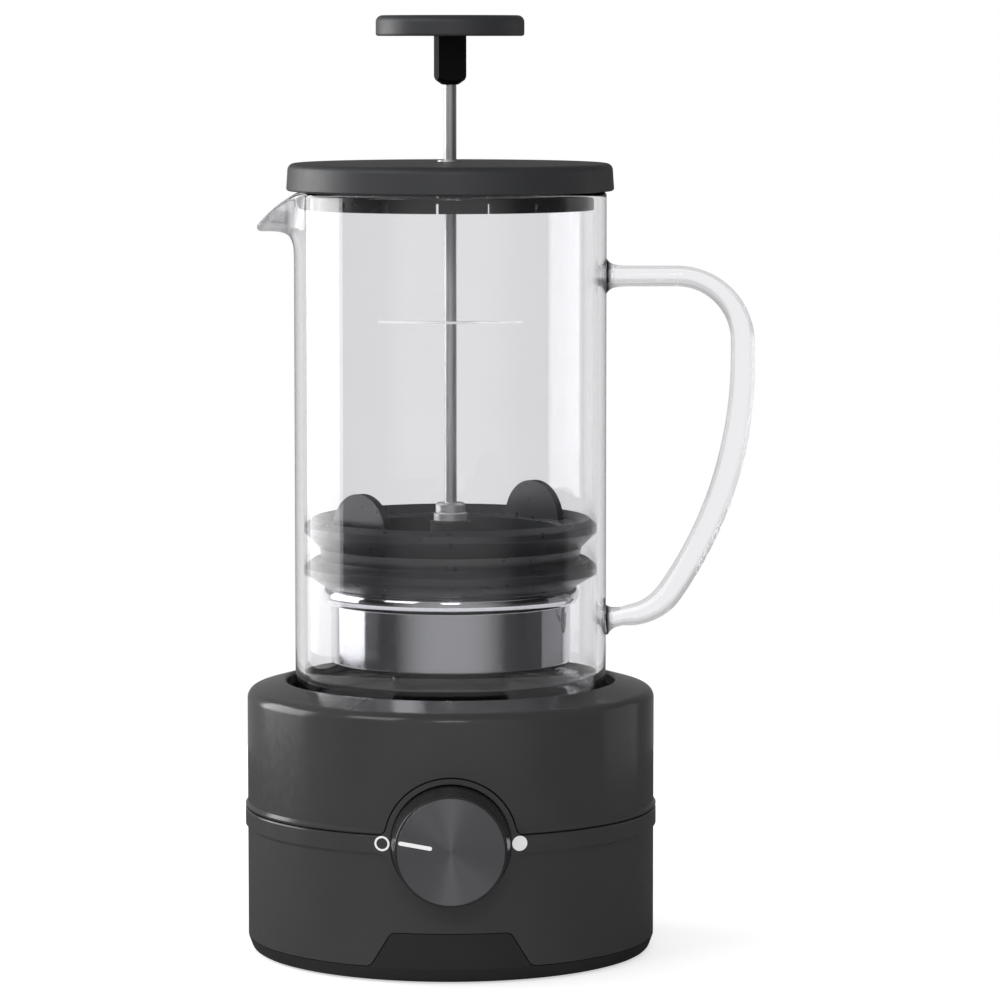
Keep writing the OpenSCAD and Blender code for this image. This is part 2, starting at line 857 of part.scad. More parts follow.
module motor_armature() {
  l = motor_l - 2 * armature_in - nose_l - 1;
  color("darkorange")
  translate([0, 0, motor_z + armature_in]) difference() {
    union() {
      cylinder(r = armature_r - 1.2, h = l);
      for (z = [0, l - coil_l]) translate([0, 0, z]) cylinder(r = armature_r, h = coil_l);
    }
    translate([0, 0, -past]) cylinder(r = shaft_r, h = l + 2 * past);
    for (a = [0:72:288])
      rotate([0, 0, a]) translate([armature_r - 2, -0.8, -past]) cube([3, 1.6, l + 2 * past]);
  }
}

module magnet_holder() {
  color(DARK)
  difference() {
    union() {
      translate([0, 0, rotor_top - holder_disc]) cylinder(r = holder_r, h = holder_disc);
      translate([0, 0, holder_z - hub_drop]) cylinder(r = holder_hub_r, h = holder_h);
    }
    translate([0, 0, holder_z - hub_drop - past])
      cylinder(r = shaft_r, h = holder_h - shaft_cover + hub_drop + past);
    around([0, 180], magnet_x)
      translate([0, 0, rotor_top - magnet_t]) cylinder(r = magnet_r, h = magnet_t + past);
  }
}

module drive_magnets() {
  color(STEEL)
  around([0, 180], magnet_x)
    translate([0, 0, rotor_top - magnet_t]) cylinder(r = magnet_r, h = magnet_t);
}

// ---- Knob ----

module knob_body() {
  front = face_r + 0.5;
  depth = -face_y + knob_back;
  hub_z = nut_h + 3 * cap_t;
  color(BLACK)
  forward(knob_back) difference() {
    union() {
      rotate_extrude()
        polygon(concat(
          [[knob_r - knob_skin, 0], [knob_r, 0], [knob_r, 0.8]],
          arc([front - 0.7, depth - 0.7], 0.7, 5, 90, 5),
          [
            [face_r + run_gap, depth], [face_r + run_gap, depth - cap_t], [0, depth - cap_t],
            [0, depth - 3 * cap_t], [front - knob_skin, depth - 3 * cap_t]
          ]
        ));
      translate([0, 0, hub_z]) cylinder(r = control_r + knob_skin, h = depth - 2 * cap_t - hub_z);
    }
    translate([0, 0, hub_z - past]) cylinder(r = control_r, h = depth - shaft_end - hub_z + past);
  }
}

module knob_face() {
  color(STEEL)
  forward(face_y + cap_t) difference() {
    rotate_extrude()
      polygon([[0, 0], [face_r, 0], [face_r, 0.7], [face_r - 0.4, 1.1], [0, 1.1]]);
    pointer_bar(0);
  }
}

// The pointer's bar: it lies in a groove of the face
module pointer_bar(less) {
  w = 0.62 - less;
  rotate([0, 0, 180 - pointer_a]) translate([0, 0, 0.8]) {
    for (x = [6.5, face_r - 1.2]) translate([x, 0, 0]) cylinder(r = w, h = 1, $fn = 32);
    translate([6.5, -w, 0]) cube([face_r - 7.7, 2 * w, 1]);
  }
}

module knob_pointer() {
  color("white")
  forward(face_y + cap_t) intersection() {
    pointer_bar(0);
    cylinder(r = face_r, h = 1.15);
  }
}

module control_shaft() {
  y = pad_back + control_h - 2.5;
  color(STEEL)
  forward(y) cylinder(r = control_r, h = y - face_y - shaft_end - 0.1);
}

// ---- Carafe ----

module carafe_glass() {
  color([0.85, 0.9, 0.92, 0.35])
  difference() {
    union() {
      rotate_extrude($fn = 128)
        polygon(concat(
          [[0, glass_z]],
          arc([glass_r - heel_r, glass_z + heel_r], heel_r, -90, 0, 10),
          arc([glass_r - glass_t / 2, rim_z - glass_t / 2], glass_t / 2, 0, 180, 10),
          arc([glass_in - heel_r + glass_t, glass_floor_z + heel_r - glass_t], heel_r - glass_t, 0, -90, 8),
          [[0, glass_floor_z]]
        ));
      difference() {
        spout(0);
        translate([0, 0, rim_z - 60]) cylinder(r = glass_r - glass_t / 2, h = 80, $fn = 128);
      }
    }
    spout(2);
    // the spout's lips fall from the rim to its tip
    translate([-glass_r - 0.6, -40, rim_z]) rotate([0, -atan2(spout_drop - 2, spout_reach), 0])
      translate([-60, 0, 0]) cube([60, 80, 60]);
  }
}

// Body of the spout: the wall is t thick, and with a t the hollow is open upwards
module spout(t) {
  tip = [-glass_r - spout_reach + 3, 0, rim_z - spout_drop];
  heel = [-glass_in - 1, 0, rim_z - spout_drop - 2];
  up = t > 0 ? 30 : 0;
  in = t > 0 ? 3 : 0;
  hull() {
    for (z = [0, up]) {
      translate(tip + [0, 0, z]) sphere(r = 3 - t * 0.75, $fn = 24);
      translate(heel + [in, 0, z + in / 2]) sphere(r = 4 - t, $fn = 24);
      for (s = [-1, 1])
        translate([-glass_in - 0.6 + in, s * (spout_w - 3), rim_z - 3 + z])
          sphere(r = 3 - t * 0.75, $fn = 24);
    }
  }
}

// Centre line of the handle in the XZ plane: arm, bend, grip, lower bend and arm
arm_x = glass_r + arm_l;
arm_z = rim_z - handle_top;
grip_c = [arm_x + bend_r - grip_r, arm_z - bend_r - grip_l];
lower_c = grip_c + (grip_r - lower_bend_r) * [cos(grip_a), -sin(grip_a)];
lower_end = lower_c + lower_bend_r * [sin(lower_slope), -cos(lower_slope)];
lower_run = (lower_end[0] - glass_r) / cos(lower_slope) + 2;
handle_line = concat(
  [for (i = [0:7]) [glass_r - 2 + (arm_l + 2) * i / 8, arm_z]],
  arc([arm_x, arm_z - bend_r], bend_r, 90, 0, 12),
  arc(grip_c, grip_r, 0, -grip_a, 12),
  arc(lower_c, lower_bend_r, -grip_a - 5, -90 + lower_slope, 8),
  [for (i = [1:6]) lower_end - lower_run * i / 6 * [cos(lower_slope), sin(lower_slope)]]
);
handle_n = len(handle_line);
// Radius of the rod along the line, and of the pads where it is fused to the glass
function rod_radius(i) =
  lookup(i / (handle_n - 1), [
    [0, upper_rod_r], [0.3, upper_rod_r], [0.5, grip_rod_r], [0.68, grip_rod_r],
    [0.85, lower_rod_r], [1, lower_rod_r]
  ])
  + pad_flare * exp(-max(0, handle_line[i][0] - glass_r) / 1.8);

module carafe_handle() {
  sides = 16;
  last = (handle_n - 1) * sides;
  // The tangent at a point is taken between its neighbours
  tangents = [for (i = [0:handle_n - 1])
    let (d = handle_line[min(i + 1, handle_n - 1)] - handle_line[max(i - 1, 0)]) d / norm(d)];
  points = [for (i = [0:handle_n - 1], k = [0:sides - 1])
    let (a = 360 * k / sides, r = rod_radius(i), p = handle_line[i], t = tangents[i])
      [p[0] - t[1] * r * cos(a), r * sin(a), p[1] + t[0] * r * cos(a)]];
  faces = concat(
    [for (i = [0:handle_n - 2], k = [0:sides - 1]) let (n = (k + 1) % sides)
      each [
        [i * sides + k, i * sides + n, (i + 1) * sides + n],
        [i * sides + k, (i + 1) * sides + n, (i + 1) * sides + k]
      ]],
    [for (k = [1:sides - 2]) [0, k + 1, k]],
    [for (k = [1:sides - 2]) [last, last + k, last + k + 1]]
  );
  color([0.85, 0.9, 0.92, 0.35])
  difference() {
    polyhedron(points, faces);
    translate([0, 0, glass_z]) cylinder(r = glass_r, h = glass_h, $fn = 128);
  }
}

// ---- Lid ----

module lid_cover() {
  r_edge = 2.2;
  color(BLACK)
  rotate_extrude()
    polygon(concat(
      [
        [bush_r, lid_top + lid_dome], [lid_r / 2, lid_top + lid_dome * 0.8]
      ],
      arc([lid_r - r_edge - 0.4, lid_top - r_edge], r_edge, 86, 3, 8),
      [
        [lid_r, lid_z + edge_r], [lid_r - edge_r, lid_z], [lid_r - lid_t, lid_z],
        [lid_r - lid_t - 0.4, lid_top - lid_t - 1], [lid_r - lid_t - 1.4, lid_top - lid_t],
        [bush_r + 3, lid_top - lid_t], [bush_r + 3, lid_z + plate_t],
        [bush_r, lid_z + plate_t]
      ]
    ));
}

// Plate under the cover, with the slit skirt that holds grounds back at the spout
module strainer_skirt() {
  skirt_z = rim_z - skirt_h;
  color(BLACK)
  difference() {
    union() {
      translate([0, 0, skirt_z]) ring(skirt_r, skirt_r - skirt_t, lid_z + plate_t - skirt_z);
      translate([0, 0, lid_z]) cylinder(r = skirt_r, h = plate_t);
      // ring that clips into the cover
      translate([0, 0, lid_z]) ring(skirt_r, skirt_r - skirt_t, lid_h - lid_t);
    }
    translate([0, 0, lid_z - past]) cylinder(r = bush_r, h = lid_h);
    for (i = [0:slits - 1])
      rotate([0, 0, -95 + 360 / slits * i])
        translate([skirt_r - skirt_t - past, -0.4, skirt_z - past])
          cube([skirt_t + 2 * past, 0.8, skirt_h - 1.2]);
  }
}

module lid_bushing() {
  top = lid_top + lid_dome;
  color(STEEL)
  difference() {
    rotate_extrude()
      polygon([
        [0, lid_z - 1], [bush_r + 0.8, lid_z - 1], [bush_r + 0.8, lid_z], [bush_r, lid_z],
        [bush_r, top], [bush_r + 0.6, top], [bush_r + 0.4, top + 0.5], [0, top + 0.5]
      ]);
    translate([0, 0, lid_z - 1 - past]) cylinder(r = rod_r + run_gap, h = lid_h + lid_dome + 4 * past);
  }
}

// ---- Plunger ----

module plunger_disc() {
  color(BLACK)
  difference() {
    rotate_extrude()
      polygon(concat(
        [[0, disc_z], [disc_r - 1.6, disc_z]],
        arc([disc_r - 0.8, disc_z + 0.8], 0.8, -90, 0, 4),
        arc([disc_r - 2.2, disc_z + disc_t - 2.2], 2.2, 0, 90, 8),
        [[0, disc_z + disc_t]]
      ));
    translate([0, 0, disc_z - past]) cylinder(r = peg_r, h = peg_l + past);
  }
}

module plunger_stem() {
  color(DARK)
  difference() {
    union() {
      rotate([0, 0, stem_turn]) intersection() {
        translate([-stem_w / 2, -stem_w / 2, stem_z]) cube([stem_w, stem_w, neck_l + stem_l]);
        union() {
          translate([0, 0, stem_z]) cylinder(r1 = stem_w / 2 - neck_in, r2 = stem_w * 0.71, h = neck_l);
          translate([0, 0, stem_z + neck_l]) cylinder(r = stem_w, h = stem_l);
        }
      }
      translate([0, 0, disc_z - 0.5]) cylinder(r = peg_r, h = peg_l + 0.3);
    }
    translate([0, 0, stem_z - past]) cylinder(r = rod_r, h = stem_bore + past);
  }
}

module plunger_rod() {
  foot = frame_floor - floor_t - 2 * rod_nut_h;
  color(STEEL)
  translate([0, 0, foot]) cylinder(r = rod_r, h = stem_z + stem_bore - 0.2 - foot);
}

module rod_collar() {
  color(STEEL)
  difference() {
    rotate_extrude()
      polygon([
        [0, hub_top], [collar_r - 0.4, hub_top], [collar_r, hub_top + 0.4],
        [collar_r, hub_top + 2.6], [collar_r - 0.6, hub_top + 3],
        [collar_r - 0.6, hub_top + collar_h - 0.6], [collar_r - 1.2, hub_top + collar_h],
        [0, hub_top + collar_h]
      ]);
    translate([0, 0, hub_top - past]) cylinder(r = rod_r, h = collar_h + 2 * past);
  }
}

module rod_nut() {
  color(STEEL)
  translate([0, 0, frame_floor - floor_t - rod_nut_h]) difference() {
    cylinder(r = nut_r, h = rod_nut_h, $fn = 6);
    translate([0, 0, -past]) cylinder(r = rod_r, h = rod_nut_h + 2 * past);
  }
}

// ---- Press ----

module press_frame() {
  spigot_r = cup_r - cup_t - 0.3;
  color(BLACK)
  difference() {
    union() {
      // wall, its foot flange on the cup's rim, and the spigot inside the cup
      rotate_extrude()
        polygon([
          [spigot_r - 1.6, frame_z - 6], [spigot_r, frame_z - 6], [spigot_r, frame_z],
          [frame_r + 0.6, frame_z], [frame_r + 0.6, frame_z + 1], [frame_r, frame_z + 1],
          [frame_r, frame_top], [frame_r - frame_t, frame_top], [frame_r - frame_t, frame_z + 0.6],
          [spigot_r - 1.6, frame_z - 0.6]
        ]);
      // floor with its windows, and the hub that carries the rod
      difference() {
        translate([0, 0, frame_floor - floor_t]) cylinder(r = frame_r - frame_t / 2, h = floor_t);
        for (a = [0:60:300])
          rotate([0, 0, a + 30]) translate([0, 0, frame_floor - floor_t - past])
            linear_extrude(floor_t + 2 * past)
              polygon(concat(
                arc([0, 0], frame_r - frame_t - 3, -25, 25, 10),
                arc([0, 0], hub_r + 3, 18, -18, 4)
              ));
      }
      translate([0, 0, frame_floor - floor_t])
        cylinder(r = hub_r, h = hub_top - frame_floor + floor_t);
    }
    translate([0, 0, frame_floor - floor_t - past])
      cylinder(r = rod_r, h = hub_top - frame_floor + floor_t + 2 * past);
  }
}

// Woven screen under the windows of the frame's floor
module frame_screen() {
  color(STEEL)
  translate([0, 0, frame_floor - floor_t - screen_t]) ring(frame_r - frame_t, nut_r + 0.6, screen_t);
}

// A wiper's lip: the edge at the glass, with a slope above it, carried by a slanted skirt.
// band_z is the edge's lower end.
function lip_outline(band_z, root_r, root_z) = [
  [root_r, root_z],
  [lip_r - 0.3, band_z],
  [lip_r, band_z + 0.4],
  [lip_r, band_z + lip_tip],
  [lip_r - 0.4, band_z + lip_tip + 0.4],
  [lip_r - lip_slope, band_z + lip_band]
];

module upper_wiper() {
  band_z = wiper_top - upper_lip;
  foot = frame_z + wiper_joint;
  color(RUBBER)
  union() {
    rotate_extrude()
      polygon(concat(
        [[frame_r, foot], [neck_r, foot]],
        lip_outline(band_z, neck_r + 0.8, band_z - lip_fall),
        [
          [neck_r + 1.4, wiper_top - 0.2], [frame_r + 0.6, wiper_top],
          [frame_r - frame_t - 0.6, wiper_top],
          [frame_r - frame_t - 1.4, wiper_top - 0.8], [frame_r - frame_t - 1.4, wiper_top - 5],
          [frame_r - frame_t, wiper_top - 5], [frame_r - frame_t, frame_top], [frame_r, frame_top]
        ]
      ));
    for (a = [tab_a, tab_a + 180]) rotate([0, 0, a]) pull_tab();
  }
}

// Round ear by which the press is pulled apart from the cup
module pull_tab() {
  t = 2.6;
  difference() {
    translate([frame_r - frame_t - 1, 0, wiper_top + tab_h - tab_r]) rotate([0, 90, 0])
      cylinder(r = tab_r, h = t);
    translate([0, -2 * tab_r, wiper_top - 3 * tab_r]) cube([base_r, 4 * tab_r, 3 * tab_r - 0.4]);
    // fold line across the foot of the tab
    translate([frame_r - frame_t - 1 + t, -2 * tab_r, wiper_top + 1.1]) rotate([-90, 0, 0])
      cylinder(r = 0.5, h = 4 * tab_r, $fn = 24);
  }
}

module lower_wiper() {
  band_z = frame_z + lower_lip;
  foot = frame_z + 1;
  color(RUBBER)
  rotate_extrude()
    polygon(concat(
      [[frame_r, foot], [frame_r + 0.6, foot]],
      lip_outline(band_z, neck_r - 0.6, band_z - lip_fall + 1),
      [
        [neck_r + 1, band_z + lip_band - 0.6], [neck_r, frame_z + wiper_joint],
        [frame_r, frame_z + wiper_joint]
      ]
    ));
}

// Drawn steel cup with a rolled rim
module filter_cup() {
  roll = 0.9;
  color([0.8, 0.81, 0.83])
  rotate_extrude()
    polygon(concat(
      [[cup_r - 6, cup_z]],
      arc([cup_r - 1.6, cup_z + 1.6], 1.6, -90, 0, 6),
      [[cup_r, frame_z - 2 * roll]],
      arc([cup_r, frame_z - roll], roll, -90, 90, 8),
      [[cup_r - cup_t, frame_z], [cup_r - cup_t, cup_z + 1.6]],
      arc([cup_r - 1.6, cup_z + 1.6], 1.6 - cup_t, 0, -90, 4),
      [[cup_r - 6, cup_z + cup_t]]
    ));
}

// Fine screen across the cup's floor
module cup_screen() {
  color(STEEL)
  translate([0, 0, cup_z + cup_t]) cylinder(r = cup_r - 2.6, h = 0.5);
}

// ---- Stirrer ----

module stir_bar() {
  straight = stir_l / 2 - stir_r + 0.6;
  color("white")
  translate([0, 0, stir_z]) rotate([0, 90, 0]) difference() {
    rotate_extrude()
      polygon(concat(
        [[0, -stir_l / 2]],
        arc([0.6, -straight], stir_r - 0.6, -90, 0, 8),
        arc([0.6, straight], stir_r - 0.6, 0, 90, 8),
        [[0, stir_l / 2]]
      ));
    translate([0, 0, -magnet_l / 2]) cylinder(r = stir_r - stir_skin, h = magnet_l);
  }
}

module stir_magnet() {
  color(DARK)
  translate([0, 0, stir_z]) rotate([0, 90, 0])
    translate([0, 0, -magnet_l / 2]) cylinder(r = stir_r - stir_skin, h = magnet_l);
}

upper_housing();
carafe_well();
well_screws();
lower_housing();
housing_screws();
bottom_cover();
cover_screws();
foot_ring();
cord_grommet();
motor_bracket();
bracket_screws();
motor_can();
motor_magnets();
motor_end_cap();
motor_bushings();
motor_screws();
control_body();
control_nut();
circuit_board();
board_screws();
board_transformer();
board_capacitor();
terminal_block();
motor_shaft();
motor_armature();
magnet_holder();
drive_magnets();
knob_body();
knob_face();
knob_pointer();
control_shaft();
carafe_glass();
carafe_handle();
lid_cover();
strainer_skirt();
lid_bushing();
plunger_disc();
plunger_stem();
plunger_rod();
rod_collar();
rod_nut();
press_frame();
frame_screen();
upper_wiper();
lower_wiper();
filter_cup();
cup_screen();
stir_bar();
stir_magnet();
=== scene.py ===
"""Looks of the cold brew coffee maker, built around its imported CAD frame. Lengths are metres."""
import math

import bmesh
import bpy
import numpy as np
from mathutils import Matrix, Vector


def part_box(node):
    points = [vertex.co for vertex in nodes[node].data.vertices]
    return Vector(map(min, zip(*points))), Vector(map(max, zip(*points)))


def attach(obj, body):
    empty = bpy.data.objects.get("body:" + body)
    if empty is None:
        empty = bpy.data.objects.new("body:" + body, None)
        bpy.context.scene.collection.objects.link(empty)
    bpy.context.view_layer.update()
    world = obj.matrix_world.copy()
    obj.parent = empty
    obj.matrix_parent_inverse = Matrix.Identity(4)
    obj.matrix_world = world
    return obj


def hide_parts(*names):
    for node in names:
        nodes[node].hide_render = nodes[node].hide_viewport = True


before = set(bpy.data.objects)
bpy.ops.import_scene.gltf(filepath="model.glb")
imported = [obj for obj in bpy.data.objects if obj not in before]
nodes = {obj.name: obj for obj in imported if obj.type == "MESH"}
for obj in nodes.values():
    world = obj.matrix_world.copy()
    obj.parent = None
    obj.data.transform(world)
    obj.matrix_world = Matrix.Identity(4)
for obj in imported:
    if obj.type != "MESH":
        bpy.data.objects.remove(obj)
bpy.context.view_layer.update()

MM = 0.001

# ---- Sizes that the pieces here share with the frame ----
GLASS_R = 50.0 * MM
GLASS_T = 2.6 * MM
GLASS_FLOOR = 3.0 * MM
HEEL_R = 7.0 * MM
BELT_R = 66.25 * MM
KNOB_Z = 44.3 * MM

glass_low, glass_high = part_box("carafe_glass")
GLASS_Z = glass_low.z
RIM_Z = glass_high.z


def add_object(name, data):
    """An object of the scene that holds this mesh, lamp or camera."""
    item = bpy.data.objects.new(name, data)
    bpy.context.scene.collection.objects.link(item)
    return item


# ---------------------------------------------------------------- camera

# The photograph's camera, worked out from its ellipses: distance, height, lens and aim
CAMERA_DISTANCE = 1.530
CAMERA_HEIGHT = 0.2936
FOCAL_PIXELS = 4780.0
FRAME_PIXELS = 1000.0
CAMERA_TILT = math.radians(5.537)
AXIS_PIXEL_U = 450.3
SENSOR_MM = 36.0


def make_camera():
    data = bpy.data.cameras.new("camera")
    data.sensor_width = SENSOR_MM
    data.lens = FOCAL_PIXELS / FRAME_PIXELS * SENSOR_MM
    camera = add_object("camera", data)
    yaw = math.atan((FRAME_PIXELS / 2 - AXIS_PIXEL_U) / FOCAL_PIXELS)
    camera.location = (0.0, -CAMERA_DISTANCE, CAMERA_HEIGHT)
    camera.rotation_euler = (math.pi / 2 - CAMERA_TILT, 0.0, -yaw)
    bpy.context.scene.camera = camera


# ---------------------------------------------------------------- shader nodes

WHITE = (1.0, 1.0, 1.0, 1.0)
# The Mix node's sockets for colours, which share their names with those for numbers
MIX_FACTOR, MIX_FIRST, MIX_SECOND, MIX_RESULT = 0, 6, 7, 2
# Most of a noise texture's values lie between these two
NOISE_LOW = 0.3
NOISE_HIGH = 0.7
# About how many bands, light or dark, a wave texture fits into one unit
BANDS_PER_UNIT = 6.0


def new_node(tree, kind, inputs=None, **settings):
    """A shader node whose inputs are given values, or linked where a socket is given."""
    node = tree.nodes.new(kind)
    for key, value in settings.items():
        setattr(node, key, value)
    for key, value in (inputs or {}).items():
        if isinstance(value, bpy.types.NodeSocket):
            tree.links.new(value, node.inputs[key])
        else:
            node.inputs[key].default_value = value
    return node


def number_math(tree, operation, *values):
    node = new_node(tree, "ShaderNodeMath", dict(enumerate(values)), operation=operation)
    return node.outputs["Value"]


def vector_math(tree, operation, *values):
    """Vector math, whose length or dot product comes out as a number."""
    node = new_node(tree, "ShaderNodeVectorMath", dict(enumerate(values)), operation=operation)
    return node.outputs["Value" if operation in ("LENGTH", "DOT_PRODUCT") else "Vector"]


def ramp(tree, value, start, end, first, last, shape="SMOOTHSTEP"):
    """Goes from first to last while the value goes from start to end."""
    inputs = {"Value": value, "From Min": start, "From Max": end, "To Min": first, "To Max": last}
    node = new_node(tree, "ShaderNodeMapRange", inputs, interpolation_type=shape)
    return node.outputs["Result"]


def facing(tree, direction, azimuth):
    """The cosine between a direction and the horizontal one at this azimuth."""
    a = math.radians(azimuth)
    return vector_math(tree, "DOT_PRODUCT", direction, (math.sin(a), -math.cos(a), 0.0))


def mixed(tree, factor, first, second):
    """The first shader where the factor is 0, the second where it is 1 or more."""
    inputs = {"Fac": factor, 1: first, 2: second}
    return new_node(tree, "ShaderNodeMixShader", inputs).outputs["Shader"]


# ---------------------------------------------------------------- materials

MOULD_CLOUD = 14.0 * MM
MOULD_SHEEN = 3.0 * MM
MOULD_GRAIN = 0.9 * MM
MOULD_GRAIN_DEPTH = 0.0008 * MM
MOULD_ROUGH_SPREAD = 0.03
METAL_GRAIN = 0.6 * MM
METAL_GRAIN_DEPTH = 0.002 * MM
TURNING_LINE = 0.12 * MM
MESH_WIRE = 0.35 * MM
WINDING_WIRE = 0.4 * MM
INK = (0.90, 0.90, 0.90)
# Painted light: a glow of the ink's own, though it is no lamp, which keeps it white where little light
# falls
INK_PAINTED_GLOW = 0.22
# Outside the wall, which is the handle and the spout, the glass turns this clear in this distance
OUTER_CLEAR = 0.55
OUTER_FADE = 1.5 * MM


class Graph:
    """Short names for the nodes that a material is made of."""

    def __init__(self, name):
        self.material = bpy.data.materials.new(name)
        self.material.use_nodes = True
        self.tree = self.material.node_tree
        self.shader = self.tree.nodes["Principled BSDF"]
        self.output = self.tree.nodes["Material Output"]
        self.place = self.add("ShaderNodeTexCoord").outputs["Object"]

    def add(self, kind, inputs=None, **settings):
        return new_node(self.tree, kind, inputs, **settings)

    def link(self, source, target):
        self.tree.links.new(source, target)

    def feed(self, name, source):
        """Links a source to the shader's own socket of this name."""
        self.link(source, self.shader.inputs[name])

    def set(self, **values):
        """Sets the shader's own sockets; an underscore stands for a space."""
        for key, value in values.items():
            self.shader.inputs[key.replace("_", " ")].default_value = value

    def noise(self, size, detail=2.0, vector=None):
        """Noise whose grains are about this size, in metres."""
        inputs = {"Scale": 1.0 / size, "Detail": detail, "Vector": vector or self.place}
        return self.add("ShaderNodeTexNoise", inputs).outputs["Fac"]

    def bands(self, direction, width, distortion=0.0):
        """Light and dark bands, each about this wide, in metres."""
        inputs = {
            "Scale": 1.0 / (BANDS_PER_UNIT * width), "Distortion": distortion, "Vector": self.place,
        }
        return self.add("ShaderNodeTexWave", inputs, bands_direction=direction).outputs["Fac"]

    def scaled_place(self, scale):
        """Object coordinates, scaled along each axis."""
        inputs = {"Vector": self.place, "Scale": scale}
        return self.add("ShaderNodeMapping", inputs).outputs["Vector"]

    def colour(self, factor, first, second):
        """A base colour between two, by the factor."""
        inputs = {MIX_FACTOR: factor, MIX_FIRST: (*first, 1.0), MIX_SECOND: (*second, 1.0)}
        node = self.add("ShaderNodeMix", inputs, data_type="RGBA")
        self.feed("Base Color", node.outputs[MIX_RESULT])

    def roughness(self, factor, low, high):
        """A roughness between low and high, by a factor that is a noise."""
        level = ramp(self.tree, factor, NOISE_LOW, NOISE_HIGH, low, high, shape="LINEAR")
        self.feed("Roughness", level)

    def bump(self, height, depth, strength=1.0):
        """Bump of this depth in metres."""
        inputs = {"Height": height, "Distance": depth, "Strength": strength}
        self.feed("Normal", self.add("ShaderNodeBump", inputs).outputs["Normal"])


def moulded(name, dark, light, rough, grain=MOULD_GRAIN, depth=MOULD_GRAIN_DEPTH, **sockets):
    """Injection-moulded plastic: faint cloudiness and a fine surface grain."""
    g = Graph(name)
    g.colour(g.noise(MOULD_CLOUD, 3.0), dark, light)
    g.roughness(g.noise(MOULD_SHEEN), rough - MOULD_ROUGH_SPREAD, rough + MOULD_ROUGH_SPREAD)
    g.bump(g.noise(grain, 3.0), depth)
    g.set(**sockets)
    return g.material


def plain(name, colour, rough):
    """A small inner part: moulded or sleeved, with a faint variation of its colour."""
    return moulded(name, tuple(c * 0.85 for c in colour), colour, rough)


def metal(name, dark, light, rough, scale=(1.0, 1.0, 1.0), depth=METAL_GRAIN_DEPTH):
    """Metal whose grain is drawn out along an axis that is scaled down, and runs around one
    that is scaled up."""
    g = Graph(name)
    place = g.scaled_place(scale)
    g.colour(g.noise(METAL_GRAIN, 3.0, place), dark, light)
    g.roughness(g.noise(METAL_GRAIN * 2, 2.0, place), rough * 0.75, rough * 1.3)
    g.bump(g.noise(METAL_GRAIN, 2.0, place), depth)
    g.set(Metallic=1.0)
    return g.material


def spun_aluminium():
    """Concentric turning lines around the knob's axis, which smear each light into two wedges."""
    g = Graph("spun_aluminium")
    from_axis = vector_math(g.tree, "SUBTRACT", g.place, (0.0, 0.0, KNOB_Z))
    flat = vector_math(g.tree, "MULTIPLY", from_axis, (1.0, 0.0, 1.0))
    inputs = {"Scale": 1.0 / TURNING_LINE, "Detail": 3.0, "W": vector_math(g.tree, "LENGTH", flat)}
    lines = g.add("ShaderNodeTexNoise", inputs, noise_dimensions="1D").outputs["Fac"]
    g.colour(lines, (0.15, 0.15, 0.159), (0.24, 0.24, 0.254))
    g.roughness(lines, 0.30, 0.38)
    # The lines run around the axis, so the face is roughest across them, along the radius
    g.feed("Tangent", vector_math(g.tree, "NORMALIZE", flat))
    g.bump(lines, 0.003 * MM)
    g.set(Metallic=1.0, Anisotropic=0.85)
    return g.material


def woven_steel():
    """Fine square weave: pale wires both ways, with dark holes between them."""
    g = Graph("woven_steel")
    wires = number_math(g.tree, "MAXIMUM", g.bands("X", MESH_WIRE), g.bands("Y", MESH_WIRE))
    g.colour(wires, (0.04, 0.04, 0.04), (0.6, 0.61, 0.63))
    g.bump(wires, 0.05 * MM)
    g.set(Metallic=0.9, Roughness=0.35)
    return g.material


def clear_glass():
    """Borosilicate glass with the faintest waviness of blown ware."""
    g = Graph("clear_glass")
    g.colour(g.noise(30 * MM, 1.0), (0.875, 0.87, 0.885), (0.895, 0.89, 0.905))
    g.bump(g.noise(22 * MM, 1.0), 0.02 * MM, strength=0.25)
    g.set(Transmission_Weight=1.0, Roughness=0.0, IOR=1.47)
    # Lamps shine through it, as they do through real glass
    clear = g.add("ShaderNodeBsdfTransparent", {"Color": (0.92, 0.92, 0.93, 1.0)})
    path = g.add("ShaderNodeLightPath").outputs
    # The handle and the spout bend light less than thick glass would, which keeps them pale
    across = g.add("ShaderNodeSeparateXYZ", {"Vector": g.place}).outputs["X"]
    away = number_math(g.tree, "ABSOLUTE", across)
    outer = ramp(g.tree, away, GLASS_R, GLASS_R + OUTER_FADE, 0.0, OUTER_CLEAR)
    share = number_math(g.tree, "MAXIMUM", path["Is Shadow Ray"], outer)
    both = mixed(g.tree, share, g.shader.outputs["BSDF"], clear.outputs["BSDF"])
    g.link(both, g.output.inputs["Surface"])
    return g.material


def printed(name):
    """Screen-printed ink: slightly uneven and matte, with a faint painted glow, though ink is no lamp,
    that keeps it white.
    """
    g = Graph(name)
    g.colour(g.noise(1.2 * MM, 3.0), tuple(c * 0.93 for c in INK), INK)
    g.roughness(g.noise(0.5 * MM), 0.4, 0.5)
    g.bump(g.noise(0.15 * MM), 0.003 * MM)
    # Painted light: the ink glows a little, as a lamp would, so that it stays white
    g.set(Emission_Strength=INK_PAINTED_GLOW)
    return g.material


def ferrite():
    """Sintered ferrite: dull, grey and finely pitted."""
    g = Graph("ferrite")
    g.colour(g.noise(0.8 * MM, 4.0), (0.06, 0.06, 0.065), (0.12, 0.12, 0.125))
    g.roughness(g.noise(1.0 * MM), 0.45, 0.65)
    g.bump(g.noise(0.3 * MM, 4.0), 0.02 * MM)
    g.set(Metallic=0.6)
    return g.material


def winding():
    """Enamelled copper wire, wound around the vertical axis."""
    g = Graph("winding")
    wires = g.bands("Z", WINDING_WIRE, distortion=0.4)
    g.colour(wires, (0.22, 0.07, 0.02), (0.75, 0.32, 0.12))
    g.bump(wires, 0.1 * MM)
    g.set(Metallic=0.8, Roughness=0.3)
    return g.material


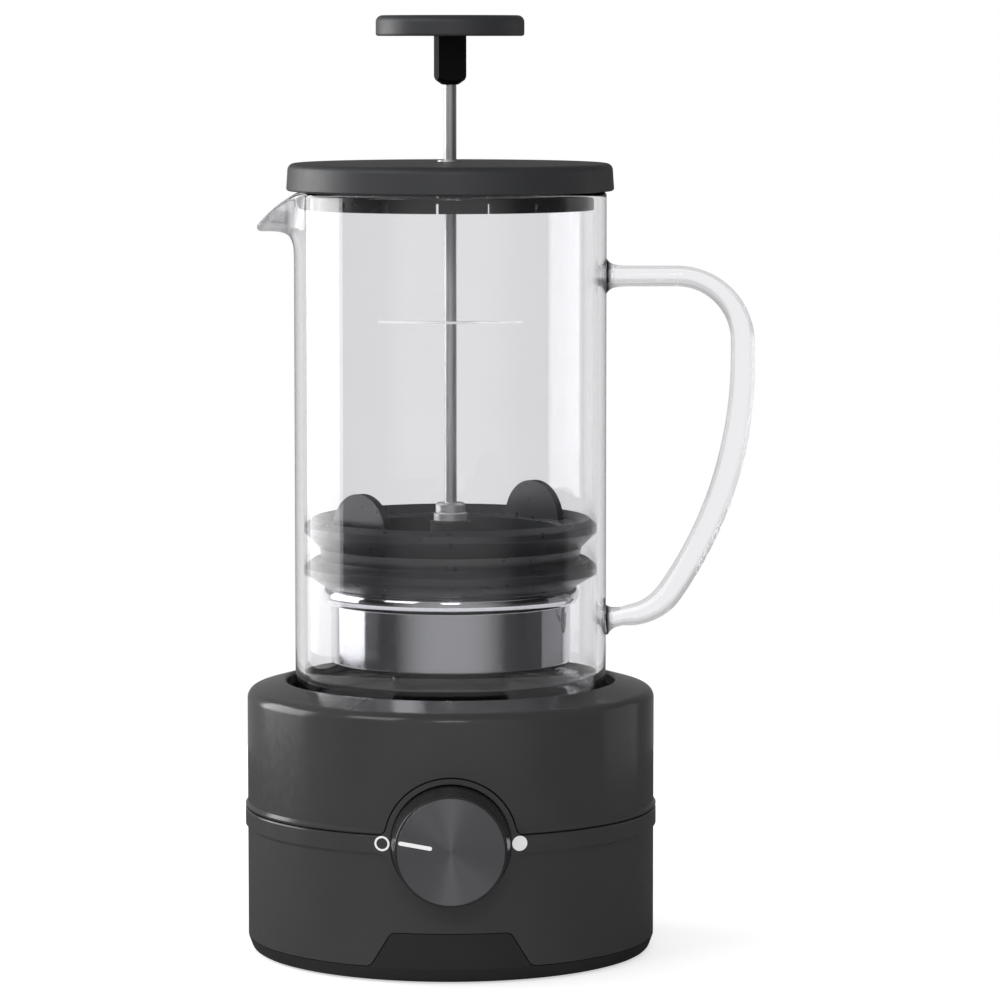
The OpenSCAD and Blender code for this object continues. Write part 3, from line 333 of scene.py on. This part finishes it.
def solder_mask():
    """Green board with faint tracks under its mask."""
    g = Graph("solder_mask")
    inputs = {
        "Scale": 1.0 / (6 * MM),
        "Color1": (0.01, 0.07, 0.02, 1.0),
        "Color2": (0.01, 0.09, 0.03, 1.0),
        "Mortar": (0.03, 0.16, 0.06, 1.0),
        "Vector": g.place,
    }
    tracks = g.add("ShaderNodeTexBrick", inputs).outputs
    g.feed("Base Color", tracks["Color"])
    g.roughness(g.noise(2 * MM), 0.3, 0.4)
    g.bump(tracks["Fac"], 0.03 * MM)
    return g.material


def make_materials():
    """Each material with the nodes that wear it."""
    housing = moulded(
        "housing", (0.051, 0.051, 0.053), (0.057, 0.057, 0.059), 0.16, Specular_IOR_Level=0.40
    )
    gloss = moulded(
        "dark_gloss", (0.006, 0.006, 0.007), (0.009, 0.009, 0.010), 0.2, Specular_IOR_Level=0.2
    )
    cover = moulded(
        "dark_cover", (0.024, 0.024, 0.025), (0.029, 0.029, 0.030), 0.22, Specular_IOR_Level=0.3
    )
    lid = moulded(
        "matte_lid", (0.034, 0.035, 0.038), (0.043, 0.044, 0.048), 0.46,
        grain=0.6 * MM, depth=0.012 * MM,
    )
    stem = moulded(
        "stem_gloss", (0.003, 0.003, 0.0035), (0.005, 0.005, 0.006), 0.3, Specular_IOR_Level=0.08
    )
    press = moulded("press_plastic", (0.022, 0.022, 0.023), (0.030, 0.030, 0.032), 0.32)
    skirt = moulded("skirt_plastic", (0.008, 0.008, 0.009), (0.012, 0.012, 0.014), 0.25)
    silicone = moulded(
        "silicone", (0.020, 0.021, 0.023), (0.028, 0.029, 0.032), 0.30,
        grain=1.4 * MM, depth=0.004 * MM,
    )
    rubber = moulded("rubber", (0.015, 0.015, 0.015), (0.022, 0.022, 0.022), 0.6)
    knob = moulded("knob_plastic", (0.020, 0.020, 0.021), (0.025, 0.025, 0.026), 0.26)
    polished = metal("polished_steel", (0.62, 0.63, 0.65), (0.70, 0.71, 0.73), 0.09, depth=0.0003 * MM)
    rod = metal("drawn_rod", (0.44, 0.44, 0.45), (0.56, 0.56, 0.57), 0.42, scale=(1.0, 1.0, 0.04))
    turned = metal("turned_steel", (0.66, 0.67, 0.68), (0.78, 0.79, 0.80), 0.40, scale=(1.0, 1.0, 6.0))
    zinc = metal("zinc_steel", (0.45, 0.46, 0.47), (0.62, 0.62, 0.60), 0.35)
    bronze = metal("sintered_bronze", (0.35, 0.20, 0.08), (0.48, 0.30, 0.12), 0.45)
    inner = plain("inner_plastic", (0.03, 0.03, 0.03), 0.45)
    return {
        housing: ["upper_housing", "lower_housing"],
        gloss: ["carafe_well"],
        stem: ["plunger_stem"],
        cover: ["bottom_cover"],
        lid: ["lid_cover", "plunger_disc"],
        press: ["press_frame"],
        skirt: ["strainer_skirt"],
        silicone: ["upper_wiper", "lower_wiper"],
        rubber: ["foot_ring", "cord_grommet"],
        knob: ["knob_body"],
        spun_aluminium(): ["knob_face"],
        printed("white_ink"): ["knob_pointer"],
        polished: ["filter_cup"],
        rod: ["plunger_rod", "lid_bushing", "control_shaft", "motor_shaft"],
        turned: ["rod_collar", "rod_nut", "control_nut"],
        woven_steel(): ["cup_screen", "frame_screen"],
        zinc: [
            "well_screws", "housing_screws", "cover_screws", "bracket_screws", "motor_screws",
            "board_screws", "motor_bracket", "motor_can",
        ],
        bronze: ["motor_bushings"],
        ferrite(): ["motor_magnets", "drive_magnets", "stir_magnet"],
        winding(): ["motor_armature", "board_transformer"],
        solder_mask(): ["circuit_board"],
        inner: ["motor_end_cap", "control_body", "magnet_holder"],
        plain("capacitor_sleeve", (0.03, 0.04, 0.12), 0.3): ["board_capacitor"],
        plain("terminal_green", (0.04, 0.22, 0.09), 0.4): ["terminal_block"],
        plain("stirrer_plastic", (0.015, 0.015, 0.016), 0.2): ["stir_bar"],
        clear_glass(): ["carafe_glass", "carafe_handle"],
    }


def dress(looks):
    for material, names in looks.items():
        for name in names:
            data = nodes[name].data
            data.materials.clear()
            data.materials.append(material)


def look_of(name):
    """The material that a node of the frame wears."""
    return nodes[name].data.materials[0]


# ---------------------------------------------------------------- meshes

ROUND_STEPS = 288
SHARP_ANGLE = 40.0
SHARP_ANGLE_JOINED = 50.0


def arc(centre, radius, start, end, steps):
    """Points along an arc, from one angle in degrees to another."""
    turns = [math.radians(start + (end - start) * i / steps) for i in range(steps + 1)]
    return [(centre[0] + radius * math.cos(t), centre[1] + radius * math.sin(t)) for t in turns]


def circle(x, z, radius, steps):
    return arc((x, z), radius, 0, 360 - 360 / steps, steps - 1)


def round_angles():
    """The angles at which a piece around the vertical axis has its points."""
    return [2 * math.pi * j / ROUND_STEPS for j in range(ROUND_STEPS)]


def smooth(data, sharp_angle):
    """Shades a mesh smooth, except across edges sharper than this angle in degrees."""
    data.shade_smooth()
    data.set_sharp_from_angle(angle=math.radians(sharp_angle))


def new_object(name, vertices, faces, material):
    """A mesh piece of this material, shaded smooth."""
    data = bpy.data.meshes.new(name)
    data.from_pydata([tuple(v) for v in vertices], [], faces)
    data.update()
    smooth(data, SHARP_ANGLE)
    data.materials.append(material)
    return add_object(name, data)


def band(first, second, count):
    """Quads between two closed rings of this many points, which start at these two indices."""
    faces = []
    for j in range(count):
        n = (j + 1) % count
        faces.append((first + j, first + n, second + n, second + j))
    return faces


def flipped(faces):
    return [face[::-1] for face in faces]


def grid_faces(rows, columns, closed_rows=False):
    """Quads between rows of a grid whose columns close round, and whose rows may."""
    faces = []
    for i in range(rows if closed_rows else rows - 1):
        faces += band(i * columns, (i + 1) % rows * columns, columns)
    return faces


def outward(piece):
    """Turns the faces so that every normal points out of the solid."""
    mesh = bmesh.new()
    mesh.from_mesh(piece.data)
    bmesh.ops.recalc_face_normals(mesh, faces=mesh.faces)
    mesh.to_mesh(piece.data)
    mesh.free()


def joined(first, second, name):
    """One closed piece made of both: where they pass through each other no wall is left."""
    modifier = first.modifiers.new("join", "BOOLEAN")
    modifier.operation = "UNION"
    modifier.solver = "EXACT"
    modifier.object = second
    bpy.context.view_layer.update()
    both = first.evaluated_get(bpy.context.evaluated_depsgraph_get())
    data = bpy.data.meshes.new_from_object(both)
    data.name = name
    smooth(data, SHARP_ANGLE_JOINED)
    for piece in (first, second):
        bpy.data.objects.remove(piece)
    return add_object(name, data)


# ---------------------------------------------------------------- glass

RIM_ROUND = GLASS_T / 2
# The spout: where it starts below the rim, the reach and drop of its tip, and its half angle
SPOUT_START = 21.0 * MM
SPOUT_REACH = 10.5 * MM
SPOUT_DROP = 11.4 * MM
SPOUT_HALF_ANGLE = math.radians(23)
SPOUT_AZIMUTH = math.pi
# Powers that curl it: how late its reach and how early its drop come on the way up, and how fast
# the drop fades to its sides
REACH_POWER = 2.2
DROP_POWER = 3
DROP_SIDE_POWER = 1.45
# Points along the wall's stretches: the heel, the straight wall, the spout and the rim
HEEL_STEPS = 12
WALL_STEPS = 10
SPOUT_STEPS = 26
RIM_STEPS = 12


def spout_weight(angle):
    """1 on the spout's line, falling to 0 at its half angle."""
    off = abs((angle - SPOUT_AZIMUTH + math.pi) % (2 * math.pi) - math.pi) / SPOUT_HALF_ANGLE
    return 0.0 if off >= 1.0 else math.cos(off * math.pi / 2) ** 2


def wall_line(angle):
    """The outer wall from the heel to the rim at this angle, as (radius, height) points."""
    foot = GLASS_Z + HEEL_R
    start = RIM_Z - SPOUT_START
    end = RIM_Z - RIM_ROUND
    points = arc((GLASS_R - HEEL_R, foot), HEEL_R, -90, 0, HEEL_STEPS)
    points += [(GLASS_R, foot + (start - foot) * i / WALL_STEPS) for i in range(1, WALL_STEPS + 1)]
    pull = spout_weight(angle)
    for i in range(1, SPOUT_STEPS + 1):
        t = i / SPOUT_STEPS
        straight = start + (end - start) * t
        lip = start + (end - SPOUT_DROP - start) * (1 - (1 - t) ** DROP_POWER)
        height = straight + (lip - straight) * pull ** DROP_SIDE_POWER
        points.append((GLASS_R + SPOUT_REACH * pull * t ** REACH_POWER, height))
    return points


def shell_line(angle):
    """The whole section of the wall at this angle: outside up, over the rim, and inside down."""
    outer = np.array(wall_line(angle))
    along = np.gradient(outer, axis=0)
    along /= np.linalg.norm(along, axis=1)[:, None]
    inward = np.stack([-along[:, 1], along[:, 0]], axis=1)
    # The floor is a little thicker than the wall
    rise = np.clip((outer[:, 1] - GLASS_Z) / HEEL_R, 0.0, 1.0)
    thick = GLASS_FLOOR + (GLASS_T - GLASS_FLOOR) * rise
    inner = outer + inward * thick[:, None]
    centre = (outer[-1] + inner[-1]) / 2
    rim = [
        centre + RIM_ROUND * (math.cos(t) * -inward[-1] + math.sin(t) * along[-1])
        for t in np.linspace(0, math.pi, RIM_STEPS)[1:-1]
    ]
    return [*outer, *rim, *inner[::-1]]


def glass_body(material):
    """The carafe's wall with its drawn spout, closed by a disc at each side of its floor."""
    angles = round_angles()
    lines = [shell_line(a) for a in angles]
    rows = len(lines[0])
    vertices = [
        (lines[j][i][0] * math.cos(a), lines[j][i][0] * math.sin(a), lines[j][i][1])
        for i in range(rows)
        for j, a in enumerate(angles)
    ]
    faces = grid_faces(rows, ROUND_STEPS)
    for row, height, flip in ((0, GLASS_Z, True), (rows - 1, GLASS_Z + GLASS_FLOOR, False)):
        centre = len(vertices)
        vertices.append((0.0, 0.0, height))
        for j in range(ROUND_STEPS):
            pair = (row * ROUND_STEPS + j, row * ROUND_STEPS + (j + 1) % ROUND_STEPS)
            faces.append((centre, *(pair[::-1] if flip else pair)))
    return new_object("glass_body", vertices, faces, material)


# The handle's line in the XZ plane: the same stretches as the frame's handle node
HANDLE_TOP = 27.1 * MM
ARM_L = 22.5 * MM
BEND_R = 21.3 * MM
GRIP_L = 7.0 * MM
GRIP_R = 128.0 * MM
GRIP_ANGLE = 35.0
LOWER_BEND_R = 18.0 * MM
LOWER_SLOPE = 8.0
UPPER_ROD_R = 3.3 * MM
GRIP_ROD_R = 4.15 * MM
LOWER_ROD_R = 2.9 * MM
PAD_FLARE = 2.3 * MM
PAD_FADE = 1.5 * MM
# Points along the stretches: each arm, the upper bend, the grip and the lower bend
ARM_STEPS = 36
BEND_STEPS = 24
GRIP_STEPS = 30
LOWER_BEND_STEPS = 20
# The lower bend's points start this many degrees on, so that none is doubled
LOWER_BEND_SKIP = 3
# The rod's radius at shares of the line's points, from the upper arm to the lower
ROD_SHARES = [0.0, 0.28, 0.48, 0.64, 0.84, 1.0]
ROD_RADII = [UPPER_ROD_R, UPPER_ROD_R, GRIP_ROD_R, GRIP_ROD_R, LOWER_ROD_R, LOWER_ROD_R]
ROD_SIDES = 40
CORNER_ROUNDS = 6


def handle_line():
    """The middle of the handle's rod, from the upper arm's root to the lower arm's."""
    arm_x = GLASS_R + ARM_L
    arm_z = RIM_Z - HANDLE_TOP
    grip = (arm_x + BEND_R - GRIP_R, arm_z - BEND_R - GRIP_L)
    turn = math.radians(GRIP_ANGLE)
    slope = math.radians(LOWER_SLOPE)
    lower = (
        grip[0] + (GRIP_R - LOWER_BEND_R) * math.cos(turn),
        grip[1] - (GRIP_R - LOWER_BEND_R) * math.sin(turn),
    )
    end = (lower[0] + LOWER_BEND_R * math.sin(slope), lower[1] - LOWER_BEND_R * math.cos(slope))
    start_x = GLASS_R - GLASS_T / 2
    run = (end[0] - start_x) / math.cos(slope)
    points = [(start_x + (arm_x - start_x) * i / ARM_STEPS, arm_z) for i in range(ARM_STEPS)]
    points += arc((arm_x, arm_z - BEND_R), BEND_R, 90, 0, BEND_STEPS)
    points += arc(grip, GRIP_R, 0, -GRIP_ANGLE, GRIP_STEPS)
    points += arc(
        lower, LOWER_BEND_R, -GRIP_ANGLE - LOWER_BEND_SKIP, -90 + LOWER_SLOPE, LOWER_BEND_STEPS
    )
    for i in range(1, ARM_STEPS + 1):
        back = run * i / ARM_STEPS
        points.append((end[0] - back * math.cos(slope), end[1] - back * math.sin(slope)))
    return np.array(points)


def glass_handle(material):
    """The handle's rod, thicker at the grip, with a pad at each end that flows into the wall."""
    line = handle_line()
    along = np.gradient(line, axis=0)
    # A light smoothing takes the corners out where two stretches meet
    for _ in range(CORNER_ROUNDS):
        along[1:-1] = (along[:-2] + 2 * along[1:-1] + along[2:]) / 4
    along /= np.linalg.norm(along, axis=1)[:, None]
    radius = np.interp(np.linspace(0.0, 1.0, len(line)), ROD_SHARES, ROD_RADII)
    radius += PAD_FLARE * np.exp(-np.clip(line[:, 0] - GLASS_R, 0.0, None) / PAD_FADE)
    vertices = []
    for (x, z), (tx, tz), r in zip(line, along, radius):
        for k in range(ROD_SIDES):
            a = 2 * math.pi * k / ROD_SIDES
            vertices.append((x - tz * r * math.cos(a), r * math.sin(a), z + tx * r * math.cos(a)))
    faces = grid_faces(len(line), ROD_SIDES)
    last = (len(line) - 1) * ROD_SIDES
    faces.append(tuple(range(ROD_SIDES))[::-1])
    faces.append(tuple(last + k for k in range(ROD_SIDES)))
    return new_object("glass_handle", vertices, faces, material)


def make_carafe(material):
    """The blown glass with its handle in one piece, in place of the frame's two glass nodes."""
    body = glass_body(material)
    handle = glass_handle(material)
    outward(body)
    outward(handle)
    carafe = joined(body, handle, "blown_carafe")
    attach(carafe, "carafe")
    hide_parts("carafe_glass", "carafe_handle")


# ---------------------------------------------------------------- cup rim

# The roll's section: its inner radius, the middle of its round side as a radius and a height
# above the cup, and its half width and half height
ROLL_IN = 38.5 * MM
ROLL_CENTRE_R = 39.1 * MM
ROLL_CENTRE_UP = 1.0 * MM
ROLL_HALF_W = 2.2 * MM
ROLL_HALF_H = 2.9 * MM
ROLL_STEPS = 24


def make_cup_roll(material):
    """The full roll of the steel cup's rim, around the foot of the wiper that sits in it."""
    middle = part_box("filter_cup")[1].z + ROLL_CENTRE_UP
    line = [(ROLL_IN, middle - ROLL_HALF_H)]
    for x, z in arc((0.0, 0.0), 1.0, -90, 90, ROLL_STEPS):
        line.append((ROLL_CENTRE_R + ROLL_HALF_W * x, middle + ROLL_HALF_H * z))
    line.append((ROLL_IN, middle + ROLL_HALF_H))
    vertices = [(r * math.cos(a), r * math.sin(a), z) for r, z in line for a in round_angles()]
    faces = grid_faces(len(line), ROUND_STEPS, closed_rows=True)
    roll = new_object("cup_rim_roll", vertices, faces, material)
    outward(roll)
    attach(roll, "plunger")


# ---------------------------------------------------------------- printed marks

PRINT_T = 0.06 * MM
PRINT_LIFT = 0.02 * MM
FILL_LINE_Z = 205.3 * MM
FILL_LINE_HALF_W = 22.5 * MM
FILL_LINE_H = 0.75 * MM
FILL_LINE_STEPS = 40
MARK_Z = 44.2 * MM
OFF_MARK_X = -21.4 * MM
ON_MARK_X = 21.4 * MM
MARK_R = 2.35 * MM
MARK_STROKE = 0.62 * MM
MARK_STEPS = 64


def printed_sheet(name, outline, wall_r, material, hole=None):
    """Ink on the front of a wall of this radius, inside an outline of (x, z) points. A hole has
    as many points as the outline. Without one a single face closes each side."""
    rings = [outline, hole] if hole else [outline]
    vertices = []
    for lift in (PRINT_LIFT, PRINT_LIFT + PRINT_T):
        r = wall_r + lift
        vertices += [(x, -math.sqrt(r * r - x * x), z) for ring in rings for x, z in ring]
    count = len(outline)
    over = len(rings) * count
    if hole:
        faces = flipped(band(0, count, count)) + band(over, over + count, count)
        faces += flipped(band(0, over, count)) + band(count, over + count, count)
    else:
        faces = flipped(band(0, over, count))
        faces.append(tuple(range(count)))
        faces.append(tuple(range(over, over + count))[::-1])
    piece = new_object(name, vertices, faces, material)
    outward(piece)
    return piece


def make_prints(material):
    """The fill line on the glass, and the ring and the dot at the ends of the knob's turn."""
    xs = [FILL_LINE_HALF_W * (2 * i / FILL_LINE_STEPS - 1) for i in range(FILL_LINE_STEPS + 1)]
    outline = [(x, FILL_LINE_Z - FILL_LINE_H / 2) for x in xs]
    outline += [(x, FILL_LINE_Z + FILL_LINE_H / 2) for x in reversed(xs)]
    line = printed_sheet("fill_line", outline, GLASS_R, material)
    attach(line, "carafe")
    ring = circle(OFF_MARK_X, MARK_Z, MARK_R, MARK_STEPS)
    hole = circle(OFF_MARK_X, MARK_Z, MARK_R - MARK_STROKE, MARK_STEPS)
    off_mark = printed_sheet("off_mark", ring, BELT_R, material, hole=hole)
    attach(off_mark, "base")
    dot = circle(ON_MARK_X, MARK_Z, MARK_R, MARK_STEPS)
    on_mark = printed_sheet("on_mark", dot, BELT_R, material)
    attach(on_mark, "base")


# ---------------------------------------------------------------- studio

AMBIENT = 0.5
# What gloss shows of the room: brighter towards one side, dark elsewhere. A room grows from dark
# to bright while the cosine to its azimuth goes from where it starts to where it is full
GLOSS_AZIMUTH = -135.0
GLOSS_DARK = 0.07
GLOSS_BRIGHT = 0.25
GLOSS_STARTS = -0.2
GLOSS_FULL = 1.0
# What is seen through glass: white behind the object, darker in front of it
BACK_AZIMUTH = 180.0
BACK_BRIGHT = 1.0
BACK_STARTS = 0.60
BACK_FULL = 0.80
THROUGH_DARK = 0.07
STRAIGHT_DARK = 0.62
# The white behind the object ends a little above the horizon: heights of the direction
BACK_TOP_STARTS = 0.03
BACK_TOP_ENDS = 0.09
# The soft glow at the camera's side, and the one above that shows only through the glass
GLOW_AZIMUTH = 0.0
GLOW_STARTS = 0.45
GLOW_FULL = 1.0
GLOW_IN_GLOSS = 0.45
GLOW_THROUGH = 0.50
TOP_STARTS = 0.45
TOP_FULL = 0.70
TOP_THROUGH = 0.9
FLOOR_RADIUS = 0.45
FLOOR_STEPS = 96
FLOOR_GLOW = 0.6
FLOOR_IN_GLOSS = 0.10
FLOOR_FRONT_IN_GLOSS = 0.42


def background(tree, colour, strength=1.0):
    inputs = {"Color": colour, "Strength": strength}
    return new_node(tree, "ShaderNodeBackground", inputs).outputs["Background"]


def room(tree, azimuth, dark, bright, start, full, glow, top=0.0, ceiling=False):
    """World light that grows from dark to bright towards one azimuth, between two cosines,
    with a soft glow at the camera's side and another above. A ceiling darkens what is higher."""
    direction = new_node(tree, "ShaderNodeTexCoord").outputs["Generated"]
    height = new_node(tree, "ShaderNodeSeparateXYZ", {"Vector": direction}).outputs["Z"]
    level = ramp(tree, facing(tree, direction, azimuth), start, full, dark, bright)
    if ceiling:
        share = ramp(tree, height, BACK_TOP_STARTS, BACK_TOP_ENDS, 1.0, dark)
        level = number_math(tree, "MULTIPLY", level, share)
    front = ramp(tree, facing(tree, direction, GLOW_AZIMUTH), GLOW_STARTS, GLOW_FULL, 0.0, glow)
    above = ramp(tree, height, TOP_STARTS, TOP_FULL, 0.0, top)
    level = number_math(tree, "MAXIMUM", number_math(tree, "MAXIMUM", level, front), above)
    return background(tree, level)


def room_behind(tree, dark, glow):
    """The room as it is seen through glass: white behind the object, up to its ceiling."""
    return room(
        tree, BACK_AZIMUTH, dark, BACK_BRIGHT, BACK_STARTS, BACK_FULL, glow,
        top=TOP_THROUGH, ceiling=True,
    )


def make_world():
    """White where it is seen, plain where it lights, and a darker room in gloss and through glass."""
    world = bpy.data.worlds.new("studio")
    bpy.context.scene.world = world
    world.use_nodes = True
    tree = world.node_tree
    tree.nodes.clear()
    path = new_node(tree, "ShaderNodeLightPath").outputs
    plain_light = background(tree, WHITE, AMBIENT)
    gloss = room(
        tree, GLOSS_AZIMUTH, GLOSS_DARK, GLOSS_BRIGHT, GLOSS_STARTS, GLOSS_FULL, GLOW_IN_GLOSS
    )
    # Straight through the glass the sides are paler than in what the press behind it mirrors
    straight = room_behind(tree, STRAIGHT_DARK, STRAIGHT_DARK)
    mirrored = room_behind(tree, THROUGH_DARK, GLOW_THROUGH)
    through = mixed(tree, path["Glossy Depth"], straight, mirrored)
    light = mixed(tree, path["Is Glossy Ray"], plain_light, gloss)
    light = mixed(tree, path["Is Transmission Ray"], light, through)
    # What lights a dull surface is the plain light, also where it came through glass
    light = mixed(tree, path["Diffuse Depth"], light, plain_light)
    light = mixed(tree, path["Is Camera Ray"], light, background(tree, WHITE))
    new_node(tree, "ShaderNodeOutputWorld", {"Surface": light})


def make_floor():
    """A pale disc under the object, white where it is seen and darker in what gloss mirrors."""
    data = bpy.data.meshes.new("floor")
    rim = [(x, y, 0.0) for x, y in circle(0.0, 0.0, FLOOR_RADIUS, FLOOR_STEPS)]
    data.from_pydata(rim, [], [tuple(range(FLOOR_STEPS))])
    floor = add_object("floor", data)
    g = Graph("pale_floor")
    g.colour(g.noise(0.4), (0.80, 0.80, 0.80), (0.84, 0.84, 0.84))
    g.set(Roughness=0.9)
    lit = g.shader.outputs["BSDF"]
    # Where it is seen directly a glow lifts the lit floor to white, and leaves a faint shadow
    glow = g.add("ShaderNodeEmission", {"Strength": FLOOR_GLOW}).outputs["Emission"]
    total = g.add("ShaderNodeAddShader", {0: lit, 1: glow}).outputs["Shader"]
    path = g.add("ShaderNodeLightPath").outputs
    seen = number_math(g.tree, "MAXIMUM", path["Is Camera Ray"], path["Is Transmission Ray"])
    # In gloss its front is paler than the rest of it
    front = facing(g.tree, vector_math(g.tree, "NORMALIZE", g.place), GLOW_AZIMUTH)
    shade = ramp(g.tree, front, GLOW_STARTS, GLOW_FULL, FLOOR_IN_GLOSS, FLOOR_FRONT_IN_GLOSS)
    dull = g.add("ShaderNodeBsdfDiffuse", {"Color": shade}).outputs["BSDF"]
    look = mixed(g.tree, path["Is Glossy Ray"], lit, dull)
    g.link(mixed(g.tree, seen, look, total), g.output.inputs["Surface"])
    data.materials.append(g.material)


def softbox(name, azimuth, distance, low_z, high_z, width, radiance, tilt=0.0, grade=None):
    """Area lamp that faces the object's axis, tilted down by an angle in degrees.
    Azimuth 0 is the camera's side, positive to its right. grade is the share of its
    brightness at its lower edge, and the share of its height at which that reaches 1."""
    height = high_z - low_z
    data = bpy.data.lights.new(name, "AREA")
    data.shape = "RECTANGLE"
    data.size = width
    data.size_y = height
    data.energy = radiance * math.pi * width * height
    lamp = add_object(name, data)
    a = math.radians(azimuth)
    lamp.location = (distance * math.sin(a), -distance * math.cos(a), (low_z + high_z) / 2)
    lamp.rotation_euler = (math.radians(90 - tilt), 0.0, a)
    lamp.visible_camera = False
    if grade:
        data.use_nodes = True
        tree = data.node_tree
        place = new_node(tree, "ShaderNodeNewGeometry").outputs["Parametric"]
        up = new_node(tree, "ShaderNodeSeparateXYZ", {"Vector": place}).outputs["Y"]
        level = ramp(tree, up, 0.0, grade[1], grade[0], 1.0)
        tree.links.new(level, tree.nodes["Emission"].inputs["Strength"])


def make_studio():
    make_world()
    make_floor()
    softbox(
        "left_softbox", azimuth=-109, distance=1.2, low_z=-0.08, high_z=0.80, width=0.93,
        radiance=4.3, grade=(0.45, 0.20),
    )
    softbox(
        "right_softbox", azimuth=112, distance=1.5, low_z=-0.25, high_z=0.60, width=0.9,
        radiance=0.28,
    )
    softbox(
        "key_softbox", azimuth=-48, distance=1.3, low_z=0.65, high_z=1.35, width=0.75,
        radiance=3.0, tilt=34,
    )
    softbox(
        "front_softbox", azimuth=0, distance=1.6, low_z=0.75, high_z=1.05, width=0.45,
        radiance=6.5, tilt=26,
    )


# ---------------------------------------------------------------- building the scene

make_camera()
dress(make_materials())
make_carafe(look_of("carafe_glass"))
make_cup_roll(look_of("filter_cup"))
make_prints(printed("white_print"))
make_studio()

scene = bpy.context.scene
scene.view_settings.view_transform = "Standard"
